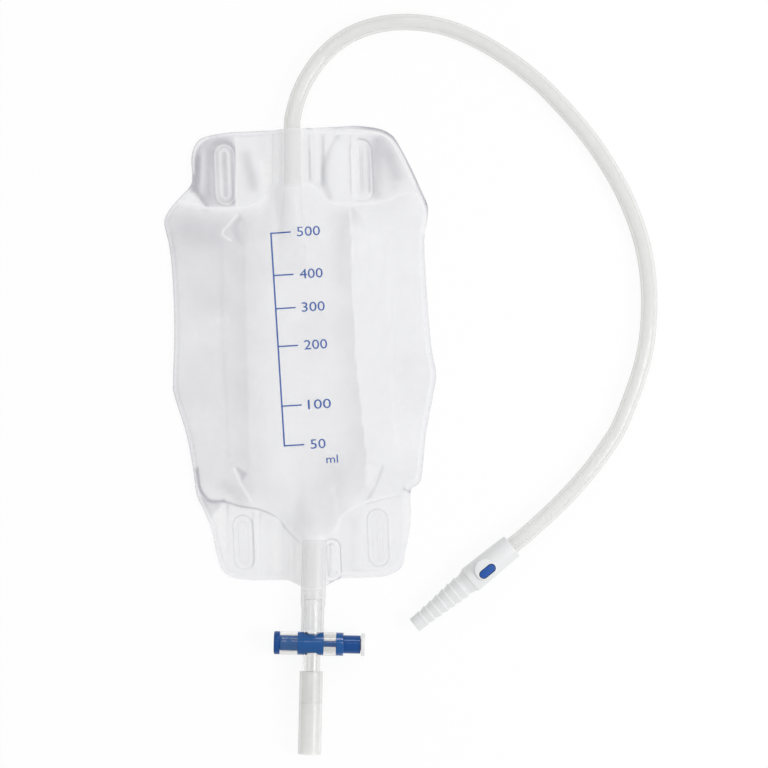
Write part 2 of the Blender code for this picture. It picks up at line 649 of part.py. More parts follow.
def make_spool(axis):
    half = BARREL_LENGTH / 2.0
    blue = finish("spool_blue", (0.02, 0.13, 0.42), 0.3)
    white = finish("cap_white", (0.85, 0.85, 0.86), 0.4)
    spool_axis = add_empty("spool_axis", (0.0, 0.0, 0.0), parent=axis)
    button = -half - GAP
    reach = half + STROKE + GAP
    rim = 2.0 * EDGE_BREAK
    profile = (
        (button - BUTTON_THICKNESS, 0.0), (button - BUTTON_THICKNESS, BARREL_RADIUS - 2.0 * rim),
        (button - BUTTON_THICKNESS + rim, BARREL_RADIUS - rim / 2.0),
        (button - BUTTON_THICKNESS + 2.0 * rim, BARREL_RADIUS), (button, BARREL_RADIUS),
        (button, SPOOL_WAIST_RADIUS), (LAND_FROM, SPOOL_WAIST_RADIUS), (LAND_FROM, SPOOL_RADIUS),
        (LAND_TO, SPOOL_RADIUS), (LAND_TO, NECK_RADIUS), (RING_FROM, NECK_RADIUS), (RING_FROM, SPOOL_RADIUS),
        (reach - GAP, SPOOL_RADIUS), (reach - GAP, CAP_PLUG_RADIUS + GAP),
        (reach - CAP_PLUG_LENGTH - GAP, CAP_PLUG_RADIUS + GAP), (reach - CAP_PLUG_LENGTH - GAP, 0.0),
    )
    add_object("valve_spool", turned_mesh("valve_spool", profile, (1.0, 0.0, 0.0)), blue, spool_axis)
    cap = (
        (reach - CAP_PLUG_LENGTH, 0.0), (reach - CAP_PLUG_LENGTH, CAP_PLUG_RADIUS), (reach, CAP_PLUG_RADIUS),
        (reach, CAP_RADIUS - EDGE_BREAK), (reach + EDGE_BREAK, CAP_RADIUS),
        (reach + CAP_THICKNESS - EDGE_BREAK, CAP_RADIUS), (reach + CAP_THICKNESS, CAP_RADIUS - EDGE_BREAK),
        (reach + CAP_THICKNESS, 0.0),
    )
    add_object("spool_end_cap", turned_mesh("spool_end_cap", cap, (1.0, 0.0, 0.0)), white, spool_axis)


def make_outlet_sleeve(axis):
    bore = STUB_RADIUS + GAP
    foot = -SLEEVE_TOP - OUTLET_SLEEVE_LENGTH
    profile = ((-SLEEVE_TOP, bore), (-SLEEVE_TOP, SLEEVE_RADIUS), (foot, SLEEVE_RADIUS), (foot, bore))
    add_object("outlet_sleeve", turned_mesh("outlet_sleeve", profile, (0.0, 1.0, 0.0)),
               finish("sleeve_vinyl", (0.80, 0.80, 0.80), 0.35, 0.8), axis)


def make_outlet_group():
    axis = add_empty("outlet_axis", (VALVE_X, VALVE_Y, OUTLET_Z), -OUTLET_TURN)
    make_outlet_tube(axis)
    make_barrel(axis)
    make_spool(axis)
    make_outlet_sleeve(axis)


clear_scene()
make_bag()
make_non_return_sleeve()
make_inlet_tube()
make_connector()
make_outlet_group()
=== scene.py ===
# A urine drainage leg bag lying on its back: welded vinyl films, inlet tube with a barbed
# connector, and a push-pull slide valve. The row frame is in metres; the sizes here are in mm.
import math
import bmesh
import bpy
import numpy as np
from mathutils import Matrix, Vector, geometry, noise
from mathutils.bvhtree import BVHTree


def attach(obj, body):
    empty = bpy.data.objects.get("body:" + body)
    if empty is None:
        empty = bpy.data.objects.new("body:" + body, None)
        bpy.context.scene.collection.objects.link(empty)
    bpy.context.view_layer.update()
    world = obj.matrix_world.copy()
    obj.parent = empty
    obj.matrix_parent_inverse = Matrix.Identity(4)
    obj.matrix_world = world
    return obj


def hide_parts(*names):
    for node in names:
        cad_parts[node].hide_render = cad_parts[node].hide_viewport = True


mm = 0.001
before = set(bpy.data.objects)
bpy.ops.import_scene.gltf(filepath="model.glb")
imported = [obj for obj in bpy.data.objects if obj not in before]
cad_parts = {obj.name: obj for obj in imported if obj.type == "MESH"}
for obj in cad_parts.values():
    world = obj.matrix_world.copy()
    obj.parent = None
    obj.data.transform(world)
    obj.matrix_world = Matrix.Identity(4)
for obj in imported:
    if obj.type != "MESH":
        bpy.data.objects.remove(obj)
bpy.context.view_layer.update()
print("frame loaded:", len(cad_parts), "nodes")


# ---- camera, floor and light ----
view = {
    "middle": (40.3, -16.6),    # the picture's middle, row frame
    "width": 384.0,
    "turn": -2.56,              # degrees, the bag lies a little turned in the picture
    "lens": 200.0,
    "sensor": 36.0,
}
studio = {
    "air": 0.655,
    # each lamp's power, size along x and y, and place from the picture's middle
    "lamps": {
        "sideLight": (5.2, 0.5, 0.5, (0.90, -0.30, 0.85)),
        "highLight": (2.4, 0.3, 0.3, (0.20, 1.30, 0.95)),
        "crossStrip": (0.6, 0.50, 0.04, (0.05, 0.30, 1.10)),
        "longStrip": (0.8, 0.04, 0.70, (0.58, -0.10, 1.10)),
    },
    "floorSize": 6.0,
    "floorDrop": 0.4,           # mm below the bag, clear of its films
    "floorTone": 0.95,
    "floorGlow": 0.9,           # share of the floor that shows as plain white
}


def makeCamera():
    data = bpy.data.cameras.new("camera")
    data.lens = view["lens"]
    data.sensor_width = view["sensor"]
    camera = bpy.data.objects.new("camera", data)
    bpy.context.collection.objects.link(camera)
    away = view["width"] * mm / 2.0 * view["lens"] / (view["sensor"] / 2.0)
    camera.location = (view["middle"][0] * mm, view["middle"][1] * mm, away)
    camera.rotation_euler = (0.0, 0.0, math.radians(view["turn"]))
    data.clip_start = 0.01
    data.clip_end = 50.0
    bpy.context.scene.camera = camera


# ---- shader maths ----
class Wire:
    def __init__(self, paint, socket):
        self.paint = paint
        self.socket = socket

    def __add__(self, other):
        return self.paint.math("ADD", self, other)

    def __radd__(self, other):
        return self.paint.math("ADD", other, self)

    def __sub__(self, other):
        return self.paint.math("SUBTRACT", self, other)

    def __rsub__(self, other):
        return self.paint.math("SUBTRACT", other, self)

    def __mul__(self, other):
        return self.paint.math("MULTIPLY", self, other)


class Paint:
    def __init__(self, name):
        self.material = bpy.data.materials.new(name)
        self.material.use_nodes = True
        self.tree = self.material.node_tree
        self.shader = self.tree.nodes["Principled BSDF"]

    def node(self, kind, settings=None, inputs=None, out=0):
        made = self.tree.nodes.new(kind)
        for key, value in (settings or {}).items():
            setattr(made, key, value)
        for key, value in (inputs or {}).items():
            if isinstance(value, Wire):
                self.tree.links.new(value.socket, made.inputs[key])
            else:
                made.inputs[key].default_value = value
        return Wire(self, made.outputs[out])

    def math(self, operation, a, b):
        return self.node("ShaderNodeMath", {"operation": operation}, {0: a, 1: b})

    def mix(self, factor, a, b):
        return self.node("ShaderNodeMix", {"data_type": "RGBA"}, {0: factor, 6: a, 7: b}, out=2)

    def ramp(self, value, low, high):
        return self.node("ShaderNodeMapRange", {"interpolation_type": "SMOOTHSTEP"},
                         {0: value, 1: low, 2: high, 3: 0.0, 4: 1.0})

    def place(self, of=None):
        # Place in the piece's own frame, or in another object's
        return self.node("ShaderNodeTexCoord", {"object": of}, out=3)

    def axis(self, number, of=None):
        return self.node("ShaderNodeSeparateXYZ", None, {0: self.place(of)}, out=number)

    def cloud(self, size, detail=2.0, rough=0.5):
        # size is the spots' size in mm
        return self.node("ShaderNodeTexNoise", {"noise_dimensions": "3D"},
                         {"Vector": self.place(), "Scale": 1.0 / (size * mm), "Detail": detail,
                          "Roughness": rough})

    def mark(self, name):
        return self.node("ShaderNodeAttribute", {"attribute_name": name}, out=2)

    def bump(self, height, strength, distance):
        return self.node("ShaderNodeBump", None,
                         {"Height": height, "Strength": strength, "Distance": distance * mm})

    def coat(self, **sockets):
        for key, value in sockets.items():
            socket = self.shader.inputs[key.replace("_", " ")]
            if isinstance(value, Wire):
                self.tree.links.new(value.socket, socket)
            else:
                socket.default_value = value
        return self.material


def colour(red, green, blue):
    return (red, green, blue, 1.0)


def makeFloor():
    paint = Paint("floorWhite")
    tree = paint.tree
    tree.nodes.remove(paint.shader)
    path = tree.nodes.new("ShaderNodeLightPath")
    seen = 0.0
    for ray in ("Is Camera Ray", "Is Glossy Ray", "Is Transmission Ray"):
        seen = paint.math("MAXIMUM", Wire(paint, path.outputs[ray]), seen)
    glow = paint.node("ShaderNodeEmission", None, {"Color": colour(1, 1, 1), "Strength": 1.0})
    matte = paint.node("ShaderNodeBsdfDiffuse", None, {"Color": colour(*[studio["floorTone"]] * 3)})
    both = paint.node("ShaderNodeMixShader", None,
                      {0: seen * studio["floorGlow"], 1: matte, 2: glow})
    tree.links.new(both.socket, tree.nodes["Material Output"].inputs["Surface"])
    half = studio["floorSize"] / 2.0
    mesh = bpy.data.meshes.new("floor")
    mesh.from_pydata([(-half, -half, 0), (half, -half, 0), (half, half, 0), (-half, half, 0)], [],
                     [(0, 1, 2, 3)])
    mesh.materials.append(paint.material)
    floor = bpy.data.objects.new("floor", mesh)
    floor.location.z = -studio["floorDrop"] * mm
    bpy.context.collection.objects.link(floor)


def makeLight(name, power, size, sizeY, place):
    data = bpy.data.lights.new(name, "AREA")
    data.energy = power
    data.shape = "RECTANGLE"
    data.size = size
    data.size_y = sizeY
    lamp = bpy.data.objects.new(name, data)
    bpy.context.collection.objects.link(lamp)
    target = Vector((view["middle"][0] * mm, view["middle"][1] * mm, 0.0))
    lamp.location = target + Vector(place)
    lamp.rotation_euler = (target - lamp.location).to_track_quat("-Z", "Y").to_euler()


def makeStudio():
    scene = bpy.context.scene
    scene.view_settings.view_transform = "Standard"
    scene.cycles.transparent_max_bounces = 40
    world = bpy.data.worlds.new("air")
    scene.world = world
    world.use_nodes = True
    back = world.node_tree.nodes["Background"]
    back.inputs["Color"].default_value = colour(1, 1, 1)
    back.inputs["Strength"].default_value = studio["air"]
    for name, lamp in studio["lamps"].items():
        makeLight(name, *lamp)
    makeFloor()


makeCamera()
makeStudio()
print("camera and studio made")


# ---- mesh helpers ----
def addPiece(name, mesh, material, replaced, sharp=35.0, body="bag"):
    mesh.materials.append(material)
    mesh.shade_smooth()
    mesh.set_sharp_from_angle(angle=math.radians(sharp))
    piece = bpy.data.objects.new(name, mesh)
    bpy.context.collection.objects.link(piece)
    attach(piece, body)
    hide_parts(replaced)
    return piece


def meshOf(name, bm, matrix=None):
    bmesh.ops.recalc_face_normals(bm, faces=bm.faces)
    mesh = bpy.data.meshes.new(name)
    bm.to_mesh(mesh)
    bm.free()
    if matrix:
        mesh.transform(matrix)
    return mesh


def rounded(profile, radius, steps=4):
    # The same line with each corner turned into an arc; a point may carry a radius of its own
    closed = profile[0][1] > 0.0
    count = len(profile)
    out = []
    for i, point in enumerate(profile):
        here = Vector(point[:2])
        size = point[2] if len(point) > 2 else radius
        if size <= 0.0 or (not closed and i in (0, count - 1)):
            out.append(tuple(here))
            continue
        before = Vector(profile[i - 1][:2]) - here
        after = Vector(profile[(i + 1) % count][:2]) - here
        angle = before.angle(after)
        if angle > math.radians(175.0):
            out.append(tuple(here))
            continue
        cut = min(size / math.tan(angle / 2.0), before.length * 0.45, after.length * 0.45)
        start = here + before.normalized() * cut
        end = here + after.normalized() * cut
        for k in range(steps + 1):
            t = k / steps
            out.append(tuple(start * (1 - t) ** 2 + here * 2 * t * (1 - t) + end * t * t))
    return out


def bridge(bm, first, second):
    # Faces between two rings of points; a ring of one point gives a fan
    count = max(len(first), len(second))
    for k in range(count):
        j = (k + 1) % count
        corners = (first[k % len(first)], first[j % len(first)], second[j % len(second)],
                   second[k % len(second)])
        bm.faces.new(tuple(dict.fromkeys(corners)))


def turned(profile, sides=96, skin=None):
    # Revolves (along, radius) points in mm round X; points past the skin radius are marked outer
    closed = profile[0][1] > 0.0
    bm = bmesh.new()
    outer = bm.verts.layers.float.new("outer") if skin else None
    rings = []
    for along, radius in profile:
        if radius <= 0.0:
            rings.append([bm.verts.new((along * mm, 0.0, 0.0))])
        else:
            rings.append([bm.verts.new((along * mm, radius * mm * math.cos(2 * math.pi * k / sides),
                                        radius * mm * math.sin(2 * math.pi * k / sides)))
                          for k in range(sides)])
        for v in rings[-1] if skin else ():
            v[outer] = float(radius > skin)
    pairs = list(zip(rings, rings[1:] + rings[:1])) if closed else list(zip(rings, rings[1:]))
    for first, second in pairs:
        bridge(bm, first, second)
    return bm


def rod(start, end, radius, edge=0.0, sides=96):
    # A solid rod along X with rounded rims
    profile = [(start, 0.0), (start, radius, edge), (end, radius, edge), (end, 0.0)]
    return turned(rounded(profile, edge), sides)


def evaluatedMesh(thing):
    graph = bpy.context.evaluated_depsgraph_get()
    return bpy.data.meshes.new_from_object(thing.evaluated_get(graph))


def applyBoolean(mesh, tool, operation):
    base = bpy.data.objects.new("work", mesh)
    cutter = bpy.data.objects.new("cutter", tool)
    for thing in (base, cutter):
        bpy.context.collection.objects.link(thing)
    change = base.modifiers.new("cut", "BOOLEAN")
    change.operation = operation
    change.solver = "EXACT"
    change.object = cutter
    bpy.context.view_layer.update()
    done = evaluatedMesh(base)
    for thing in (base, cutter):
        bpy.data.objects.remove(thing)
    return done


def step(low, high, value):
    # Smooth 0 to 1 from low to high, which may be the greater of the two
    t = np.clip((value - low) / (high - low), 0.0, 1.0)
    return t * t * (3.0 - 2.0 * t)


# ---- the bag's layout, in mm ----
bag = {
    "length": 226.0, "width": 132.0, "film": 0.35, "gap": 0.3,
    "tabDrop": 4.5, "tabHalf": 15.5, "rim": 1.3,
    "topLean": 0.009, "bottomLean": 0.020, "cornerX": 36.0,
    "topFlange": 38.7, "inletDome": 9.4, "topCorner": 4.2,
    "bottomFlange": 35.0, "bottomSlope": 7.0, "funnel": 14.5, "bottomCorner": 6.0,
    "domeSpread": 1.85, "funnelSpread": (0.27, 2.3), "slopeReach": 0.35,
    "topShoulder": (0.29, 0.43), "bottomShoulder": (0.33, 0.43),    # shares of the width
    "puff": 4.0, "endSlope": 22.0, "endSteep": 1.04, "dish": 0.7, "facetDrop": 0.36,
    "endBlend": 0.5, "foldBlend": 0.9,
    "edgeLift": 1.4, "liftWave": 78.0, "liftFrom": (0.27, 0.50), "liftShift": 2.1,
    "slots": ((-34.3, 91.5), (33.8, 90.5), (-33.3, -92.5), (34.0, -93.2)),
    # tones of each slot's outer line, inner line, surround and slit; the dark slit tone is painted
    # shade over the slit's lit cut edges
    "slotTones": ((0.4, 0.45, -0.2, -0.35), (0.4, 0.1, -0.3, -0.25), (-0.75, -0.6, 0.15, -0.3),
                  (-0.75, -0.45, 0.2, -0.5)),
    "slit": (0.05, 22.0),
    # half width and half length of each slot's outer and inner oval
    "ovals": ((4.7, 14.8, 2.2, 12.0), (4.7, 14.8, 2.2, 12.0), (5.0, 13.6, 2.4, 10.5),
              (5.2, 14.4, 2.6, 12.0)),
    "ring": (10.4, -103.3, 4.4, 10.7),      # long welded ring beside the outlet tube
    # the ring's lines: inset, half width, height, tone; the light line on the raised bead is a
    # painted highlight
    "ringLines": ((0.0, 0.5, 0.0, -1.0), (1.1, 0.6, 0.4, 0.9), (2.3, 0.45, 0.0, -1.0)),
    "rimLine": 2.3,
}
inlet = {
    "radius": 4.1, "bore": 2.8, "endY": 83.9, "x": (-1.0, 0.2), "weld": 9.4,
    "sleeveWall": 0.3, "grip": 4.5, "taper": 23.0, "sleeveLength": 46.0, "flatWidth": 14.0,
    "flatHeight": 1.2, "slack": 0.15, "lead": 13.0,
}
outlet = {
    "x": -1.3, "y": -144.2, "turn": -3.93, "radius": 6.15, "neck": 5.65, "length": 45.5,
    "weld": 11.3, "tent": 32.0, "valveRadius": 5.8,
}
leftEdge = (
    (0.994, 0.580), (0.981, 0.655), (0.953, 0.729), (0.891, 0.769), (0.781, 0.776), (0.724, 0.859),
    (0.683, 0.928), (0.642, 0.979), (0.600, 0.996), (0.498, 0.966), (0.345, 0.952), (0.134, 0.956),
    (-0.086, 0.983), (-0.154, 0.980), (-0.326, 0.902), (-0.479, 0.863), (-0.598, 0.844),
    (-0.675, 0.790), (-0.762, 0.742), (-0.864, 0.713), (-0.937, 0.676), (-0.972, 0.595),
    (-0.990, 0.520),
)
rightEdge = (
    (1.000, 0.570), (0.984, 0.648), (0.958, 0.740), (0.919, 0.793), (0.797, 0.892), (0.693, 0.963),
    (0.633, 1.001), (0.574, 0.995), (0.482, 0.965), (0.381, 0.962), (0.168, 0.969), (0.000, 0.983),
    (-0.112, 1.008), (-0.213, 0.976), (-0.381, 0.910), (-0.558, 0.866), (-0.599, 0.829),
    (-0.627, 0.776), (-0.758, 0.767), (-0.885, 0.721), (-0.964, 0.675), (-0.995, 0.566),
    (-1.000, 0.535),
)
bagTop = bag["length"] / 2.0
flatZ = bag["film"] + bag["gap"]
sleeveAxisZ = bag["film"] + 2 * bag["gap"] + inlet["sleeveWall"] + inlet["radius"]
outletZ = bag["film"] + bag["gap"] + outlet["radius"]
outletEndY = outlet["y"] + outlet["valveRadius"] + bag["gap"] + outlet["length"]
# Course of each side's near and far fold: heights up the bag, then places across it
nearFold = {-1: ((-59.0, 72.0, 108.0), (-28.7, -25.3, -26.2)),
            1: ((-59.0, 1.0, 70.0), (30.3, 26.5, 27.1))}
farFold = {-1: ((-46.0, 54.0), (-39.1, -38.2)), 1: ((-46.0, 25.0), (45.0, 44.1))}


def edgeX(side, y):
    table = np.array(leftEdge if side < 0 else rightEdge)[::-1]
    return side * np.interp(y / bagTop, table[:, 0], table[:, 1]) * bag["width"] / 2.0


def inletX(y):
    low, high = inlet["x"]
    return low + (high - low) * (y - inlet["endY"]) / (bagTop - inlet["endY"])


def outletX(y):
    return outlet["x"] + (y - outlet["y"]) * math.tan(math.radians(-outlet["turn"]))


def topEdge(x):
    return bagTop - bag["topLean"] * np.maximum(0.0, bag["cornerX"] - x)


def bottomEdge(x):
    tab = 1.0 - step(0.0, bag["tabHalf"], np.abs(x - outletX(-bagTop)))
    rise = bag["bottomLean"] * np.maximum(0.0, bag["cornerX"] - x)
    return -bagTop + rise * (1.0 - tab) - bag["tabDrop"] * tab


def topSeam(x):
    dome = 1.0 - step(inlet["weld"], bag["domeSpread"] * inlet["weld"], np.abs(x - inlet["x"][0]))
    shoulder = step(*bag["topShoulder"], np.abs(x) / bag["width"])
    return bagTop - bag["topFlange"] + bag["inletDome"] * dome + bag["topCorner"] * shoulder


def bottomSeam(x):
    away = np.abs(x - outletX(outletEndY))
    funnel = 1.0 - step(*(spread * outlet["weld"] for spread in bag["funnelSpread"]), away)
    corner = bag["bottomCorner"] * step(*bag["bottomShoulder"], np.abs(x) / bag["width"])
    slope = bag["bottomSlope"] * (1.0 - away / (bag["slopeReach"] * bag["width"]))
    flange = bag["bottomFlange"] + bag["bottomSlope"]
    return -bagTop + flange - slope - bag["funnel"] * funnel + corner


def nearX(side, y):
    return np.interp(y, *nearFold[side])


def farX(side, y):
    return np.interp(y, *farFold[side])


def overTube(away, axisZ, radius, reach, weldZ):
    # A film pulled over a round tube and straight down to the weld line beside it
    span = math.hypot(reach, weldZ - axisZ)
    lean = math.atan2(weldZ - axisZ, reach) + math.acos(radius / span)
    leaveX = radius * math.cos(lean)
    leaveZ = axisZ + radius * math.sin(lean)
    arch = axisZ + np.sqrt(np.maximum(radius ** 2 - away ** 2, 0.0))
    slope = leaveZ + (weldZ - leaveZ) * (away - leaveX) / (reach - leaveX)
    return np.where(away <= leaveX, arch, np.where(away >= reach, weldZ, slope))


def tableLift(x, y):
    outward = step(*bag["liftFrom"], np.abs(x) / bag["width"])
    side = np.where(x < 0.0, 0.0, bag["liftShift"])
    turns = 2 * math.pi * y / bag["liftWave"] + side
    return bag["edgeLift"] * outward * (0.5 + 0.5 * np.sin(turns))


def across(x, y):
    # Share of the full height across the bag: two raised folds, a dished panel between them,
    # a steep facet outside each fold and a long slope to the rim
    out = np.zeros_like(x)
    for side in (-1, 1):
        fold = np.abs(nearX(side, y))
        second = np.abs(farX(side, y))
        edge = np.abs(edgeX(side, y)) - bag["rim"]
        away = np.abs(x)
        dish = 1.0 - bag["dish"] / bag["puff"] * (1.0 - (away / fold) ** 2)
        facet = 1.0 - bag["facetDrop"] * (away - fold) / (second - fold)
        slope = (1.0 - bag["facetDrop"]) * (edge - away) / (edge - second)
        share = np.where(away < fold, dish, np.where(away < second, facet, slope))
        out = np.where((x < 0) == (side < 0), share, out)
    return np.maximum(out, 0.0)


def softLeast(a, b, width):
    share = np.clip(0.5 + 0.5 * (b - a) / width, 0.0, 1.0)
    return b + (a - b) * share - width * share * (1.0 - share)


def pouch(x, y):
    # Height of the folded pouch between the seams
    steep = bag["puff"] * bag["endSteep"] / bag["endSlope"]
    ends = softLeast(steep * (topSeam(x) - y), steep * (y - bottomSeam(x)), bag["endBlend"])
    return np.maximum(softLeast(ends, bag["puff"] * across(x, y), bag["foldBlend"]), 0.0)


def frontBase(x, y):
    # The front film's underside without its embossing
    height = np.full_like(x, flatZ)
    inside = (y > bottomSeam(x)) & (y < topSeam(x))
    height = height + np.where(inside, pouch(x, y), 0.0)
    over = overTube(np.abs(x - inletX(y)), sleeveAxisZ,
                    inlet["radius"] + bag["gap"] * 2 + inlet["sleeveWall"] + inlet["slack"],
                    inlet["weld"], flatZ)
    under = overTube(np.abs(x - outletX(y)), outletZ,
                     outlet["radius"] + bag["gap"] + inlet["slack"], outlet["weld"], flatZ)
    near = step(inlet["endY"] - inlet["taper"] - inlet["lead"], inlet["endY"] - 3.0, y)
    low = 1.0 - step(outletEndY + 3.0, outletEndY + 3.0 + outlet["tent"], y)
    height = height + np.maximum(over - height, 0.0) * near
    height = height + np.maximum(under - height, 0.0) * low
    return height + tableLift(x, y)


# ---- feature lines of the front film ----
def evenly(line, spacing, up=0.5):
    # Evenly spaced points along a line, their number rounded, or cut where up is 0
    along = np.concatenate([[0], np.cumsum(np.linalg.norm(np.diff(line, axis=0), axis=1))])
    at = np.linspace(0, along[-1], max(2, int(along[-1] / spacing + up) + 1))
    return np.stack([np.interp(at, along, line[:, k]) for k in range(line.shape[1])], axis=1)


def ringOf(points):
    # The same points with the first one again at the end
    return np.vstack([points, points[:1]])


def smoothLine(points, spacing, closed=False):
    # Evenly spaced points on a smooth curve through these
    pts = [np.array(p, float) for p in points]
    if closed:
        pts = [pts[-1], *pts, pts[0], pts[1]]
    else:
        pts = [2 * pts[0] - pts[1], *pts, 2 * pts[-1] - pts[-2]]
    fine = []
    for a, b, c, d in zip(pts, pts[1:], pts[2:], pts[3:]):
        for i in range(16):
            t = i / 16.0
            fine.append(0.5 * (2 * b + (c - a) * t + (2 * a - 5 * b + 4 * c - d) * t * t
                               + (3 * b - a - 3 * c + d) * t ** 3))
    fine.append(pts[-2])
    return evenly(np.array(fine), spacing)


def ovalLine(x, y, halfWidth, halfLength, spacing):
    points = []
    for end in (1.0, -1.0):
        for k in range(9):
            angle = math.pi * k / 8
            points.append((x + end * math.cos(angle) * halfWidth,
                           y + end * (halfLength - halfWidth + math.sin(angle) * halfWidth)))
    return evenly(ringOf(np.array(points)), spacing, 0.0)


def outlinePoints(spacing):
    halfWidth = bag["width"] / 2.0
    left = [(-x * halfWidth, y * bagTop) for y, x in leftEdge]
    right = [(x * halfWidth, y * bagTop) for y, x in rightEdge]
    bottomX = np.linspace(left[-1][0] + 5.0, right[-1][0] - 5.0, 60)
    bottom = [(x, float(bottomEdge(x))) for x in bottomX]
    top = [(x, float(topEdge(x))) for x in np.linspace(right[0][0] - 6.0, left[0][0] + 6.0, 9)]
    ring = left[1:-1] + bottom + right[-2:0:-1] + top
    return smoothLine(ring, spacing, closed=True)[:-1]


def offsetLine(line, amount):
    # The line moved sideways, to the left of its direction
    ahead = np.gradient(line, axis=0)
    ahead /= np.linalg.norm(ahead, axis=1)[:, None] + 1e-9
    return line + np.stack([-ahead[:, 1], ahead[:, 0]], axis=1) * amount


def distanceTo(points, line, reach=3.0):
    # Distance of each point from a polyline, for points within the reach
    best = np.full(len(points), 1e9)
    for a, b in zip(line[:-1], line[1:]):
        if np.abs(b - a).max() > 30.0:
            continue    # two stretches of one line, not joined
        low = np.minimum(a, b) - reach
        high = np.maximum(a, b) + reach
        near = np.where(((points > low) & (points < high)).all(axis=1))[0]
        if not len(near):
            continue
        d = b - a
        p = points[near]
        t = np.clip(((p - a) @ d) / max(d @ d, 1e-12), 0.0, 1.0)
        best[near] = np.minimum(best[near], np.linalg.norm(p - a - t[:, None] * d, axis=1))
    return best


def insideOf(points, ring):
    # Which points lie inside a closed ring
    x, y = points[:, 0], points[:, 1]
    inside = np.zeros(len(points), bool)
    x2, y2 = ring[-1]
    for x1, y1 in ring:
        crosses = (y1 > y) != (y2 > y)
        with np.errstate(divide="ignore", invalid="ignore"):
            at = (x2 - x1) * (y - y1) / (y2 - y1 + 1e-12) + x1
        inside ^= crosses & (x < at)
        x2, y2 = x1, y1
    return inside
